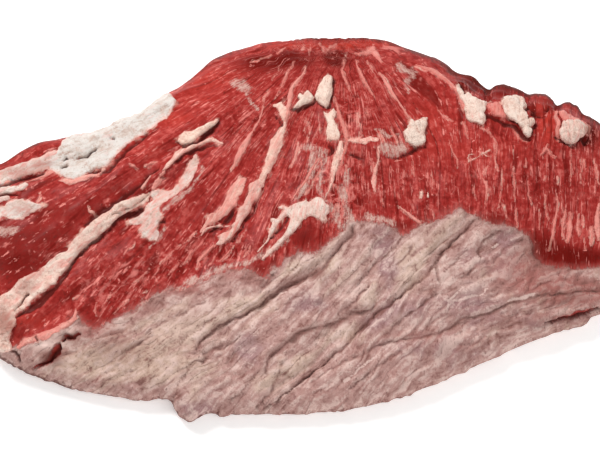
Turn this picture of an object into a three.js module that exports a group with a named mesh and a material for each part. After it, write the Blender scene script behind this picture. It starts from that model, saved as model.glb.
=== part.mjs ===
// A raw beef sirloin flap: one slab of coarse-grained muscle, lying on a flat surface with its trimmed side
// up. The back two thirds are bare red meat whose grain fans out from the middle of the back edge, with seams
// and lumps of white fat in it. The front third is still under its silverskin, which lies in slanting folds.
//
// Millimetres. X runs along the slab's length, Y from its front edge to its back edge, and +Z is up.
// The origin is under the middle of the slab, on the surface that it rests on.
import * as THREE from "three";
import { mergeVertices } from "three/addons/utils/BufferGeometryUtils.js";

// Driving dimensions
const LENGTH = 376; // left end to right end
const DEPTH = 238; // front edge to back edge
const THICKNESS = 43; // from the surface to the top of the bare slab's crown, without seams and lumps

// The rim is a half round. Its thickness changes from the front edge round to the back edge and the ends.
const RIM_FRONT = 12.5;
const RIM_BACK = 12;
const RIM_LEFT = 18;
const RIM_RIGHT = 16;

// The crown stands nearer the back edge, and a little left of the middle.
const CROWN_ACROSS = 0.68; // 0 is the front edge, 1 the back edge
const CROWN_LEFT = 0.4; // the full height lies between these shares of the length
const CROWN_RIGHT = 0.58;

// How the meat swells from the rim up to the crown: 1 is a quarter wave, and less is steeper at the rim.
const SWELL_FRONT = 0.8;
const SWELL_BACK = 0.62;
const SWELL_LEFT = 0.55;
const SWELL_RIGHT = 0.5;
const END_RIM = 0.12; // the share of the length over which an end's rim changes to that of the long sides

// Mesh density: cells along the length and across it on the top, and rings down the rim below its widest line
const CELLS_LONG = 90;
const CELLS_ACROSS = 54;
const RIM_RINGS = 2;
const EDGE_PACKING = 0.3; // how far the cells crowd towards the rim, from 0, even, to 1

// The outline in plan, once round from the front left corner by way of the front edge, the right end, the back
// edge and the left end. One smooth closed curve runs through it.
const OUTLINE = [
  [-164, -81], [-151, -91], [-120, -103], [-86, -109], [-47, -116], [0, -117], [44, -110], [92, -89],
  [140, -67], [170, -50],
  [183, -27], [189, 0], [189, 25],
  [181, 44], [167, 58], [138, 77], [101, 87], [67, 106], [36, 116], [0, 117], [-38, 109], [-72, 82],
  [-96, 60], [-121, 50], [-154, 40], [-180, 23],
  [-187, 0], [-185, -27], [-177, -56],
];
const FRONT_RIGHT = 9; // where the other corners are in that list
const BACK_RIGHT = 13;
const BACK_LEFT = 25;
const SIDE_STEPS = 60;

// Where the outline bulges or is notched: the place, how far it reaches outwards, and half the width.
const EDGE_BUMPS = [
  { at: [-59, -115], reach: 7, width: 11.5 }, // a tab of silverskin folded over the front edge
  { at: [-76, -110], reach: -3.5, width: 9 },
  { at: [145, -65], reach: 3.5, width: 8 }, // a small tag of it, further right
  { at: [-103, 58], reach: 4.5, width: 9 }, // fat on the back left edge
  { at: [-131, 47], reach: 2.5, width: 10 },
  { at: [-115, 52], reach: -2.5, width: 7 },
  { at: [94, 91], reach: 2, width: 8 }, // lobes of trimmed muscle along the back right edge
  { at: [105, 86], reach: -4.5, width: 6.5 },
  { at: [115, 84], reach: 2.5, width: 8 },
  { at: [136, 78], reach: 2.5, width: 9 },
  { at: [147, 73], reach: -4.5, width: 6.5 },
  { at: [155, 68], reach: 2, width: 7 },
];

// Forms on the top. Each is a strip along an arc between two plan points: the arc's middle lies "bow" to the
// left of the straight way. "width" is half the strip's width, and a negative height is a depth.
const MUSCLES = [
  { from: [-169, -50], to: [-44, 54], bow: 2.5, width: 27, height: 4.5 }, // the lobe at the upper left
  { from: [-108, -59], to: [-22, 45], bow: -2.5, width: 21.5, height: 2 },
  { from: [36, -4], to: [40, 68], bow: 0, width: 30.5, height: 2 },
  { from: [108, -9], to: [99, 54], bow: 0, width: 32.5, height: 2.5 },
];
const FURROWS = [
  { from: [-144, -68], to: [-95, -22], bow: 2.5, width: 8, height: -4.5 }, // beside the long seam
  { from: [-95, -22], to: [-61, 11], bow: 0, width: 7, height: -3.5 },
  { from: [-108, -14], to: [-59, 29], bow: 2, width: 7, height: -2.5 },
  { from: [-162, 18], to: [-95, 27], bow: -2, width: 7, height: -3 }, // in front of the back left fat
  { from: [-95, 27], to: [-72, 49], bow: 2, width: 7, height: -2.5 },
  { from: [101, 42], to: [127, 31], bow: -3.5, width: 7, height: -3.5 }, // in front of the back right lumps
  { from: [96, 68], to: [107, 74], bow: 9, width: 6.5, height: -2.5 },
];
const FAT = [
  { from: [-160, -81], to: [-108, -24], bow: -3.5, width: 9, height: 4.5 }, // the long seam under that lobe
  { from: [-108, -24], to: [-58, 23], bow: 0, width: 8, height: 4 },
  { from: [-68, 26], to: [-45, 39], bow: 2, width: 8, height: 3 }, // a leaf of fat lifted off the seam
  { from: [-176, -3], to: [-142, 11], bow: 0, width: 11, height: 2.5 }, // fat along the back left edge
  { from: [-151, 32], to: [-117, 38], bow: 0, width: 10, height: 3 },
  { from: [-110, 36], to: [-86, 54], bow: 0, width: 12.5, height: 5.5 },
  { from: [-88, 41], to: [-67, 67], bow: 0, width: 9, height: 3.5 },
  { from: [-4, 51], to: [4, 59], bow: 0, width: 9, height: 3.5 }, // lumps where the seams of the fan meet
  { from: [10, 50], to: [12, 64], bow: 0, width: 8, height: 4.5 },
  { from: [14, 43], to: [15, 27], bow: 0, width: 7, height: 3 },
  { from: [57, 24], to: [61, 38], bow: 0, width: 9, height: 4.5 },
  { from: [36, 22], to: [50, 18], bow: 0, width: 9, height: 2 },
  { from: [86, 74], to: [97, 43], bow: 0, width: 10, height: 4.5 }, // lumps along the back right edge
  { from: [105, 59], to: [122, 39], bow: 2.5, width: 11, height: 6 },
  { from: [138, 51], to: [155, 49], bow: -11, width: 11.5, height: 5.5 },
  { from: [-1, 73], to: [-19, 16], bow: 2.5, width: 7, height: 2 }, // seams that follow the grain of the fan
  { from: [-23, 10], to: [-46, -35], bow: -2, width: 7, height: 2.5 },
  { from: [-34, 4], to: [-55, -32], bow: 0, width: 6.5, height: 2 },
  { from: [-16, 58], to: [-38, 13], bow: 0, width: 6.5, height: 2 },
  { from: [14, -10], to: [-16, -34], bow: 0, width: 8, height: 2.5 },
  { from: [16, 22], to: [11, -8], bow: 0, width: 7, height: 2 },
  { from: [4, 20], to: [-4, -12], bow: 0, width: 7, height: 2 },
  { from: [44, 60], to: [56, 34], bow: 1, width: 6.5, height: 2 },
  { from: [-76, -6], to: [-88, -28], bow: 0, width: 9, height: 2 },
];

// The silverskin covers the meat in front of this border, which is a curve through plan points.
const SKIN_BORDER = [
  [-194, -94], [-153, -84], [-118, -70], [-65, -54], [-15, -41], [32, -22], [85, -16], [124, -36],
  [194, -39],
];
const SKIN_THICKNESS = 1;
const SKIN_STEP = 2.5; // how far to each side of the border the step up to the skin spreads
const BORDER_STEPS = 120;
const SKIN_FOLDS = [
  { from: [24, -27], to: [-58, -91], bow: 3.5, width: 8, height: -2.5 }, // furrows
  { from: [50, -31], to: [13, -71], bow: 2, width: 7, height: -2 },
  { from: [88, -20], to: [30, -76], bow: -2, width: 8, height: -3.5 },
  { from: [30, -76], to: [-13, -110], bow: 0, width: 8, height: -3 },
  { from: [35, -69], to: [-19, -94], bow: 2, width: 7, height: -2 },
  { from: [104, -22], to: [90, -41], bow: 2.5, width: 7, height: -2.5 },
  { from: [158, -51], to: [61, -79], bow: 2, width: 8, height: -2 },
  { from: [61, -79], to: [-3, -103], bow: -2, width: 7, height: -2 },
  { from: [-33, -82], to: [-54, -95], bow: 0, width: 7, height: -2 },
  { from: [34, -31], to: [-45, -88], bow: 4.5, width: 8, height: 2 }, // ridges between them
  { from: [76, -22], to: [31, -67], bow: 0, width: 9, height: 2.5 },
  { from: [45, -74], to: [13, -101], bow: 0, width: 9, height: 2 },
  { from: [20, -68], to: [-31, -101], bow: 0, width: 8, height: 2 },
];

// The grain fans out from one point over the back edge, in bundles that stand up a little.
const FAN_CENTRE = [22, 112];
const FAN_NEAR = 36; // the bundles rise between these distances from the centre
const FAN_FAR = 80;
const FAN_RADIUS = 110; // where the bundles have their stated width
const BUNDLE_WIDTH = 12;
const BUNDLE_HEIGHT = 0.7;

// Slow waves make the whole top uneven: wave lengths along X and Y, a phase and a height.
const WAVES = [
  { x: 87, y: -126, phase: 0.7, height: 0.8 },
  { x: -55, y: 75, phase: 2.1, height: 0.5 },
  { x: 39, y: 47, phase: 4.4, height: 0.4 },
];

const { lerp, clamp, smoothstep } = THREE.MathUtils;

const curveOf = (points) => new THREE.SplineCurve(points.map(([x, y]) => new THREE.Vector2(x, y)));

const outline = new THREE.CatmullRomCurve3(OUTLINE.map(([x, y]) => new THREE.Vector3(x, y)), true);

// The stretch of the outline between two of its points, as a curve that can be walked by length.
function sideOf(first, last) {
  const samples = [];
  for (let i = 0; i <= SIDE_STEPS; i++) {
    const { x, y } = outline.getPoint(lerp(first, last, i / SIDE_STEPS) / OUTLINE.length);
    samples.push([x, y]);
  }
  return curveOf(samples);
}

const front = sideOf(0, FRONT_RIGHT);
const right = sideOf(FRONT_RIGHT, BACK_RIGHT);
const back = sideOf(BACK_LEFT, BACK_RIGHT);
const left = sideOf(OUTLINE.length, BACK_LEFT);

// The plan point at share u of the length and share v of the depth, blended from the four sides.
function blendedPoint(u, v) {
  const f = front.getPointAt(u);
  const b = back.getPointAt(u);
  const l = left.getPointAt(v);
  const r = right.getPointAt(v);
  const frontWay = front.points[0].clone().lerp(front.points.at(-1), u);
  const backWay = back.points[0].clone().lerp(back.points.at(-1), u);
  return f.lerp(b, v).add(l.lerp(r, u)).sub(frontWay.lerp(backWay, v));
}

// 1 on a form's middle line, falling smoothly to 0 at its half width.
const bell = (t) => (t < 1 ? (1 - t * t) ** 2 : 0);

function planPoint(u, v) {
  const at = blendedPoint(u, v);
  const outward = at.clone().divide(new THREE.Vector2(LENGTH, DEPTH)).normalize();
  const push = new THREE.Vector2();
  for (const { at: [x, y], reach, width } of EDGE_BUMPS) {
    push.addScaledVector(outward, reach * bell(Math.hypot(at.x - x, at.y - y) / width));
  }
  return at.add(push);
}

// Quarter waves give the swell of the meat over the rim.
const quarterWave = (t, power) => Math.pow(Math.sin(clamp(t, 0, 1) * Math.PI / 2), power);

function swell(u, v) {
  const across = v < CROWN_ACROSS
    ? quarterWave(v / CROWN_ACROSS, SWELL_FRONT)
    : quarterWave((1 - v) / (1 - CROWN_ACROSS), SWELL_BACK);
  const along = u < CROWN_LEFT
    ? quarterWave(u / CROWN_LEFT, SWELL_LEFT)
    : quarterWave((1 - u) / (1 - CROWN_RIGHT), SWELL_RIGHT);
  return across * along;
}

function rimThickness(u, v) {
  const across = lerp(RIM_FRONT, RIM_BACK, v);
  const toLeft = 1 - smoothstep(u, 0, END_RIM);
  const toRight = smoothstep(u, 1 - END_RIM, 1);
  return lerp(lerp(across, RIM_LEFT, toLeft), RIM_RIGHT, toRight);
}

const ARC_STEPS = 6;

// The arc of a form, as a line of a few points.
function arcOf({ from, to, bow }) {
  const start = new THREE.Vector2(...from);
  const end = new THREE.Vector2(...to);
  const way = end.clone().sub(start).normalize();
  const control = start.clone().add(end).multiplyScalar(0.5);
  control.addScaledVector(new THREE.Vector2(-way.y, way.x), 2 * bow);
  return new THREE.QuadraticBezierCurve(start, control, end).getPoints(ARC_STEPS);
}

const withArcs = (forms) => forms.map((form) => ({ ...form, arc: arcOf(form) }));
const bareForms = withArcs([...MUSCLES, ...FURROWS, ...FAT]);
const skinForms = withArcs(SKIN_FOLDS);

// How far a plan point is from an arc, and where along the arc its nearest point is, from 0 to 1.
function nearestOn(arc, x, y) {
  let best = { distance: Infinity, along: 0 };
  for (let i = 0; i < ARC_STEPS; i++) {
    const a = arc[i];
    const b = arc[i + 1];
    const dx = b.x - a.x;
    const dy = b.y - a.y;
    const t = clamp(((x - a.x) * dx + (y - a.y) * dy) / (dx * dx + dy * dy), 0, 1);
    const distance = Math.hypot(x - a.x - t * dx, y - a.y - t * dy);
    if (distance < best.distance) best = { distance, along: (i + t) / ARC_STEPS };
  }
  return best;
}

// The sum of what the forms raise or lower one plan point. A form is full in its middle and half at its ends.
function heightOf(forms, x, y) {
  return forms.reduce((sum, { arc, width, height }) => {
    const { distance, along } = nearestOn(arc, x, y);
    const taper = 0.5 + 0.5 * Math.sin(Math.PI * along);
    return sum + height * taper * bell(distance / width);
  }, 0);
}

const skinBorder = curveOf(SKIN_BORDER).getSpacedPoints(BORDER_STEPS);

// 1 under the silverskin, 0 on the bare meat, with a soft step between them.
function covered(x, y) {
  const i = skinBorder.findIndex((p) => p.x > x);
  const a = skinBorder[i - 1];
  const b = skinBorder[i];
  const border = lerp(a.y, b.y, (x - a.x) / (b.x - a.x));
  return smoothstep(border - y, -SKIN_STEP, SKIN_STEP);
}

// The height of the grain's bundles: a wave that runs round the fan's centre.
function bundles(x, y) {
  const [cx, cy] = FAN_CENTRE;
  const radius = Math.hypot(x - cx, y - cy);
  const across = Math.atan2(x - cx, cy - y) * FAN_RADIUS;
  const wave = Math.sin((2 * Math.PI * across) / BUNDLE_WIDTH);
  return BUNDLE_HEIGHT * wave * smoothstep(radius, FAN_NEAR, FAN_FAR);
}

const waveHeight = (w, x, y) => w.height * Math.sin(2 * Math.PI * (x / w.x + y / w.y) + w.phase);

function relief(x, y) {
  const skin = covered(x, y);
  const uneven = WAVES.reduce((sum, wave) => sum + waveHeight(wave, x, y), 0);
  const bare = heightOf(bareForms, x, y) + bundles(x, y) * (1 - skin);
  return uneven + bare + skin * (SKIN_THICKNESS + heightOf(skinForms, x, y));
}

// The top's height: half the rim's thickness, its round shoulder, the swell over it, and the relief.
function topHeight(u, v, at) {
  const rim = rimThickness(u, v);
  const inFrom = Math.min(u * LENGTH, (1 - u) * LENGTH, v * DEPTH, (1 - v) * DEPTH);
  const shoulder = Math.sqrt(1 - (1 - clamp(inFrom / (rim / 2), 0, 1)) ** 2);
  const bare = (rim / 2) * (1 + shoulder) + (THICKNESS - rim) * swell(u, v);
  return bare + relief(at.x, at.y) * smoothstep(inFrom, 0, rim);
}

const packed = (t) => lerp(t, 0.5 - 0.5 * Math.cos(Math.PI * t), EDGE_PACKING);

// A box grid without its bottom face, which is the last of its six groups.
function openBox() {
  const box = new THREE.BoxGeometry(1, 1, 1, CELLS_LONG, CELLS_ACROSS, RIM_RINGS);
  box.deleteAttribute("normal");
  box.deleteAttribute("uv");
  box.setIndex(Array.from(box.index.array).slice(0, box.groups.at(-1).start));
  return mergeVertices(box, 1e-4);
}

// The box's top face becomes the meat's top, and its sides become the rim below its widest line.
function slabGeometry() {
  const shell = openBox();
  const position = shell.getAttribute("position");
  const foot = [];
  for (let i = 0; i < position.count; i++) {
    const u = packed(position.getX(i) + 0.5);
    const v = packed(position.getY(i) + 0.5);
    const down = 0.5 - position.getZ(i);
    const at = planPoint(u, v);
    const rim = rimThickness(u, v) / 2;
    const turn = down * Math.PI / 2;
    const inward = at.clone().normalize().multiplyScalar(-rim * (1 - Math.cos(turn)));
    const z = down === 0 ? topHeight(u, v, at) : rim * (1 - Math.sin(turn));
    position.setXYZ(i, at.x + inward.x, at.y + inward.y, z);
    if (down === 1) foot.push(i);
  }
  return closeFoot(shell, foot);
}

// The flat underside, filled between the vertices of the rim's lowest ring.
function closeFoot(shell, foot) {
  const position = shell.getAttribute("position");
  const angle = (i) => Math.atan2(position.getY(i), position.getX(i));
  const ring = [...new Set(foot)].sort((a, b) => angle(a) - angle(b));
  const contour = ring.map((i) => new THREE.Vector2(position.getX(i), position.getY(i)));
  const faces = THREE.ShapeUtils.triangulateShape(contour, []);
  const downwards = faces.flatMap(([a, b, c]) => [ring[a], ring[c], ring[b]]);
  shell.setIndex([...shell.index.array, ...downwards]);
  return shell;
}

// Moves the origin under the middle of the slab's box.
function centred(geometry) {
  geometry.computeBoundingBox();
  const middle = geometry.boundingBox.getCenter(new THREE.Vector3());
  geometry.translate(-middle.x, -middle.y, -geometry.boundingBox.min.z);
  geometry.computeVertexNormals();
  return geometry;
}

function meat() {
  const material = new THREE.MeshStandardMaterial({ color: 0xa8413b, roughness: 0.45, metalness: 0 });
  const mesh = new THREE.Mesh(centred(slabGeometry()), material);
  mesh.name = "sirloin_flap";
  return mesh;
}

const flap = new THREE.Group();
flap.add(meat());

export default flap;
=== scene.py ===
"""A raw beef sirloin flap on a pale floor: coarse red grain, white fat and folded silverskin."""
import math

import bmesh
import bpy
import numpy as np
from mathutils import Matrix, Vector


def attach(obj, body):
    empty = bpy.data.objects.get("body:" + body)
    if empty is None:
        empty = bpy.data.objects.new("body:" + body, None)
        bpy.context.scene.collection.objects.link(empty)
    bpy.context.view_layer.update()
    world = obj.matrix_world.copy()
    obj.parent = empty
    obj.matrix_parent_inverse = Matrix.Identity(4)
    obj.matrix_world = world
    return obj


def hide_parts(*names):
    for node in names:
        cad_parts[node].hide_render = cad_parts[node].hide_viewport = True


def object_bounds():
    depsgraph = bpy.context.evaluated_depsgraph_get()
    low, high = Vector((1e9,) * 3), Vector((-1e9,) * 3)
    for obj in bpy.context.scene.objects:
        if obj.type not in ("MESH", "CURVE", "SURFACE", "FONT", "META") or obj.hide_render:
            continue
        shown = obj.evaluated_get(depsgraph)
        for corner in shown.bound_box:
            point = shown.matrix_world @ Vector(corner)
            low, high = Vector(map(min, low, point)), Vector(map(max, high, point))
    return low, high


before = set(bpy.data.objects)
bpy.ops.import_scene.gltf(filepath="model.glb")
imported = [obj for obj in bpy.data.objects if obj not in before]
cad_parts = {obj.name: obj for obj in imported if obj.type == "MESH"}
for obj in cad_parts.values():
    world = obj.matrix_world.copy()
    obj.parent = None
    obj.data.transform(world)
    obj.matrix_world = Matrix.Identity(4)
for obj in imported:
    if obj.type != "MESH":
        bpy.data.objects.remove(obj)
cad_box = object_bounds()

# ---------------------------------------------------------------- the view

VIEW_ELEVATION = math.radians(60)
VIEW_DISTANCE = 0.9
VIEW_TARGET = Vector((-0.0036, -0.0103, 0.018))
EYE = VIEW_TARGET + Vector((0, -math.cos(VIEW_ELEVATION), math.sin(VIEW_ELEVATION))) * VIEW_DISTANCE
LENS_MM = 100
SENSOR_MM = 36
IMAGE_WIDTH, IMAGE_HEIGHT = 600, 450
PIXEL_MM = 0.54  # what a pixel of the view spans on the meat

# The seams, lumps and folds below are drawn in this view's pixels. A stroke is a list of (x, y, half width),
# and a patch is (x, y, reach along x, reach along y, strength). They are laid onto the meat along the view's
# rays, and what they make is then part of the mesh.


def view_pixels(points):
    """Where points in metres fall in the view, in pixels from its upper left corner."""
    sine, cosine = math.sin(VIEW_ELEVATION), math.cos(VIEW_ELEVATION)
    q = points - np.array(VIEW_TARGET)
    depth = VIEW_DISTANCE + cosine * q[:, 1] - sine * q[:, 2]
    focal = LENS_MM / SENSOR_MM * IMAGE_WIDTH
    x = IMAGE_WIDTH / 2 + focal * q[:, 0] / depth
    y = IMAGE_HEIGHT / 2 - focal * (sine * q[:, 1] + cosine * q[:, 2]) / depth
    return x, y


# ---------------------------------------------------------------- what is on the meat

# Seams and threads of fat, drawn along their middles: how white each is, from 0, pink, to 1, how high it
# stands in mm, and its stroke.
FAT = [
    # on the left
    (0.4, 1.2, [(88, 206, 1.4), (90, 211, 2), (96, 213, 2.2)]),
    (0.4, 0.8, [(142, 188, 1.8), (146, 181, 2), (150, 175, 1.4)]),
    (0.35, 0.7, [(153, 189, 2.2), (158, 182, 3.2), (162, 176, 3.2), (165, 171, 1.6)]),
    (0.25, 0.6, [(26, 181, 1), (38, 178, 1.5), (50, 172, 2.5), (58, 168, 3)]),
    (0.3, 0.5, [(36, 202, 1.3), (39, 197, 1.4), (41, 192, 0.9)]),
    (0.2, 0.6, [(129, 163, 1.4), (134, 166, 1.8), (139, 169, 1.2)]),
    (0.2, 0.5, [(146, 166, 1.2), (151, 163, 1.6), (157, 162, 1)]),
    # down the middle
    (0.3, 0.5, [(307, 65, 1.2), (303, 73, 1.6), (297, 80, 1.9), (291, 88, 2.3), (289, 98, 2.6),
        (288, 108, 2.8), (286, 119, 2.6)]),
    (0.68, 0.7, [(275, 104, 2.2), (280, 105, 4.2), (283, 110, 5), (284, 117, 3.4)]),
    (0.58, 0.7, [(285, 122, 2.4), (282, 131, 4), (277, 140, 6), (274, 149, 6.8), (271, 158, 6),
        (269, 166, 4.6), (264, 175, 4), (261, 183, 4.4)]),
    (0.15, 0.4, [(269, 91, 1.2), (265, 97, 1.8), (263, 104, 1.5), (262, 112, 1.5), (259, 121, 1.7),
        (254, 129, 2)]),
    (0.25, 0.5, [(252, 132, 2.2), (247, 140, 3.4), (242, 149, 4.4), (238, 157, 4), (234, 165, 2.4),
        (232, 171, 1.2)]),
    (0.05, 0.4, [(293, 62, 1), (288, 72, 1.3), (282, 84, 1.3), (277, 93, 1.2), (274, 99, 0.8)]),
    (0, 0.3, [(279, 66, 0.9), (276, 74, 1.2), (272, 80, 0.9)]),
    # in the fan
    (0.6, 0.7, [(341, 142, 2.6), (340, 150, 3.8), (337, 158, 4.4), (335, 166, 3.8), (333, 174, 2.8),
        (332, 182, 2), (329, 190, 1.5), (325, 197, 1)]),
    (0.15, 0.4, [(347, 140, 1.4), (345, 150, 1.8), (343, 158, 1.6), (340, 168, 1.2)]),
    (0.15, 0.4, [(329, 181, 1), (333, 184, 1.8), (337, 189, 1)]),
    (0.1, 0.5, [(336, 96, 1), (337, 106, 1.8), (340, 116, 2.4), (344, 126, 2.8), (347, 136, 3)]),
    (0.3, 0.5, [(299, 142, 1.1), (297, 152, 1.6), (294, 159, 1.7), (291, 167, 1.1)]),
    (0.2, 0.4, [(319, 158, 1.2), (311, 170, 1.6), (306, 180, 1.8), (299, 189, 1.6), (291, 200, 1.2)]),
    (0.15, 0.3, [(323, 160, 1), (319, 172, 1.4), (313, 183, 1.4), (306, 194, 1)]),
    (0.1, 0.3, [(322, 187, 0.9), (321, 181, 1.2), (327, 179, 1.1)]),
    # between the fan and the right
    (0.45, 0.6, [(379, 147, 1.8), (379, 156, 1.6), (377, 165, 1.8), (375, 173, 2.6), (374, 181, 3.1),
        (374, 187, 2.2), (377, 193, 1)]),
    (0.15, 0.4, [(371, 158, 0.9), (373, 167, 1.1), (373, 173, 0.9)]),
    (0.1, 0.4, [(347, 53, 1), (345, 61, 1.2), (342, 69, 1.6), (344, 76, 1.9), (348, 84, 1.5), (352, 93, 1)]),
    (0.15, 0.5, [(356, 60, 1.1), (358, 67, 1.8), (362, 75, 1.9), (367, 84, 1.7), (372, 92, 1.5),
        (375, 98, 1)]),
    (0.05, 0.4, [(367, 60, 1), (370, 66, 1.2), (374, 73, 1.1), (378, 80, 0.9)]),
    (0.25, 0.7, [(380, 72, 1.2), (385, 80, 2), (390, 87, 2.4), (394, 93, 2.1), (399, 101, 1.8),
        (404, 108, 1.9), (409, 116, 1.7)]),
    (0.1, 0.5, [(354, 53, 1), (361, 53, 1.5), (368, 52, 2.6), (373, 50, 3.6), (377, 55, 2.6),
        (381, 61, 1.4)]),
    (0.1, 0.4, [(370, 50, 1.6), (374, 45, 1)]),
    # along the back edge
    (0, 0.3, [(303, 43, 0.9), (303, 48, 1.2)]),
    (0, 0.3, [(310, 43, 0.9), (311, 49, 1.2), (309, 53, 0.9)]),
    (0, 0.3, [(318, 42, 1), (323, 46, 1.6), (325, 52, 1.2)]),
    (0, 0.3, [(336, 43, 1), (330, 47, 1.4), (327, 51, 1)]),
    (0, 0.3, [(251, 63, 0.9), (257, 60, 1.1), (265, 57, 1), (272, 54, 0.9)]),
    (0, 0.3, [(278, 53, 1), (282, 49, 1.2), (286, 46, 0.9)]),
    # in the centre
    (0.3, 0.5, [(357, 112, 1.6), (358, 119, 1.9), (360, 127, 1.3)]),
    (0.1, 0.4, [(366, 107, 1.2), (369, 114, 1.2)]),
    (0.15, 0.4, [(376, 128, 1), (380, 135, 1.4), (383, 142, 1.6)]),
    (0.15, 0.4, [(391, 128, 1.1), (394, 135, 1.5), (397, 142, 1.6)]),
    (0.15, 0.4, [(361, 129, 1), (362, 135, 1.5)]),
    (0.5, 0.5, [(350, 140, 1.8), (358, 140, 3), (364, 141, 3.6), (370, 138, 3.4), (377, 139, 2.4)]),
    (0.1, 0.4, [(395, 161, 1.6), (398, 160, 1.8), (402, 160, 1.2)]),
    # fine threads
    (0, 0.3, [(306, 116, 0.9), (306, 126, 1.1), (303, 131, 0.9)]),
    (0, 0.3, [(313, 112, 0.9), (311, 122, 1.1), (308, 134, 1), (307, 142, 0.8)]),
    (0, 0.3, [(319, 112, 0.9), (319, 126, 1), (317, 137, 1)]),
    (0.05, 0.3, [(348, 164, 1), (347, 170, 1.5), (349, 175, 1)]),
    (0.05, 0.3, [(336, 204, 0.9), (333, 212, 1.4), (330, 218, 1)]),
    (0, 0.3, [(343, 199, 0.9), (341, 206, 1.1), (340, 212, 0.8)]),
    (0.05, 0.3, [(413, 159, 0.9), (413, 167, 1.5), (415, 175, 0.9)]),
    (0, 0.3, [(390, 167, 0.9), (394, 171, 1.2)]),
    (0, 0.3, [(397, 191, 0.8), (400, 198, 1), (402, 204, 0.8)]),
    (0.05, 0.3, [(432, 172, 1), (433, 182, 1.3), (433, 188, 0.8)]),
    (0.05, 0.3, [(432, 208, 0.9), (433, 215, 1.2), (435, 221, 1)]),
    (0, 0.3, [(427, 206, 1.2), (430, 209, 1.1)]),
    (0, 0.3, [(382, 200, 1), (384, 205, 1.1)]),
    # round the lumps on the right
    (0.15, 0.8, [(416, 64, 1), (424, 67, 1.6), (433, 70, 2.2), (441, 74, 2.6), (448, 78, 2.4),
        (453, 84, 2.6), (458, 93, 2.8), (463, 103, 2.6), (465, 112, 1.4)]),
    (0, 1.2, [(491, 103, 4.5), (495, 105, 6.5), (498, 110, 6.5), (503, 115, 4)]),
    (0.1, 1.4, [(557, 108, 1.6), (556, 116, 3), (559, 124, 2.6), (557, 134, 2.2), (559, 141, 1.6)]),
    (0.1, 1.5, [(561, 111, 2.2), (566, 116, 4), (574, 120, 4.6), (582, 122, 4.4), (588, 127, 3.4),
        (589, 134, 1.6)]),
    (0.1, 0.9, [(541, 155, 1.2), (545, 150, 2), (548, 144, 1.4)]),
    (0.1, 0.9, [(547, 149, 1.8), (551, 154, 1.6), (556, 157, 1)]),
    (0.6, 2.2, [(606, 132, 3.5), (614, 139, 6), (623, 147, 5), (629, 157, 3)]),
    # over the upright grain on the right
    (0.6, 0.5, [(468, 158, 0.8), (469, 154, 1), (474, 154, 1)]),
    (0.6, 0.5, [(470, 160, 0.9), (475, 158, 1.1), (481, 154, 1.2), (486, 151, 1.3), (491, 149, 1)]),
    (0.5, 0.4, [(479, 148, 0.9), (482, 151, 1.1), (486, 155, 1.3), (490, 155, 0.9)]),
    (0.1, 0.4, [(449, 139, 0.9), (451, 147, 1.1), (454, 154, 1.3), (457, 159, 1.5), (457, 169, 0.8)]),
    (0.1, 0.4, [(439, 109, 1), (443, 116, 1.3), (448, 118, 1.6), (452, 120, 1.1)]),
    (0.1, 0.4, [(463, 121, 1.4), (466, 128, 1.5), (468, 137, 1)]),
    (0, 0.3, [(481, 126, 1), (488, 131, 1.3), (494, 138, 1)]),
    (0, 0.3, [(509, 123, 1), (513, 131, 1.4), (519, 138, 1.1), (527, 142, 0.8)]),
    (0, 0.3, [(494, 139, 1.4), (497, 147, 1.4), (496, 160, 0.9), (498, 171, 0.9)]),
    (0.05, 0.3, [(484, 173, 1.3), (486, 169, 1.6), (488, 165, 1)]),
    (0.1, 0.4, [(483, 178, 1), (486, 182, 2.2), (487, 189, 2.1), (486, 196, 1.4), (485, 204, 0.9)]),
    (0, 0.3, [(502, 168, 1), (503, 174, 1.3), (501, 184, 1), (501, 197, 1), (498, 208, 1.3)]),
    (0, 0.3, [(514, 150, 0.9), (513, 165, 1), (515, 179, 1.3), (515, 191, 1.4), (515, 201, 0.9)]),
    (0, 0.3, [(527, 159, 0.9), (526, 165, 1.2)]),
    (0.05, 0.3, [(529, 193, 0.9), (531, 200, 1.4), (533, 204, 0.9)]),
    (0, 0.3, [(473, 184, 0.9), (474, 191, 1.3), (476, 199, 1)]),
    (0.05, 0.3, [(546, 175, 1.2), (546, 179, 1.3)]),
    (0, 0.3, [(546, 195, 1.2), (547, 206, 1.2), (547, 215, 1.1), (551, 223, 0.9)]),
    (0, 0.3, [(571, 153, 0.9), (571, 168, 1.2), (571, 185, 0.9)]),
    (0, 0.3, [(582, 157, 0.8), (582, 170, 1), (581, 183, 0.8)]),
    (0.05, 0.3, [(585, 159, 1), (585, 167, 1)]),
    (0.05, 0.3, [(594, 159, 0.8), (596, 170, 1.3), (598, 181, 0.9)]),
    (0, 0.3, [(504, 204, 1), (506, 213, 1.3), (508, 218, 0.8)]),
    (0, 0.3, [(517, 208, 1), (517, 218, 1.6), (518, 226, 1)]),
    (0, 0.3, [(540, 208, 0.9), (540, 221, 1.2), (540, 230, 0.9)]),
    (0.35, 0.4, [(558, 176, 1.1), (558, 182, 1.5)]),
    # above the silverskin
    (0.15, 0.5, [(213, 245, 1.6), (206, 252, 1.8), (199, 260, 1.8), (196, 268, 1.2)]),
    (0.1, 0.4, [(233, 246, 1.2), (228, 253, 1.8), (222, 259, 1.4), (218, 261, 1)]),
    (0.1, 0.4, [(246, 231, 1.3), (241, 238, 1.5), (236, 244, 1)]),
    (0.1, 0.4, [(251, 246, 1.2), (247, 252, 1.5), (243, 256, 0.9)]),
    (0.15, 0.4, [(196, 231, 1.3), (190, 239, 1.4)]),
    (0.1, 0.4, [(192, 251, 1.4), (187, 259, 1.8), (182, 266, 1.2)]),
    (0.05, 0.3, [(221, 248, 1), (214, 257, 1.3), (209, 266, 0.9)]),
    (0.05, 0.3, [(180, 262, 1), (173, 270, 1.4), (166, 277, 1)]),
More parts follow.
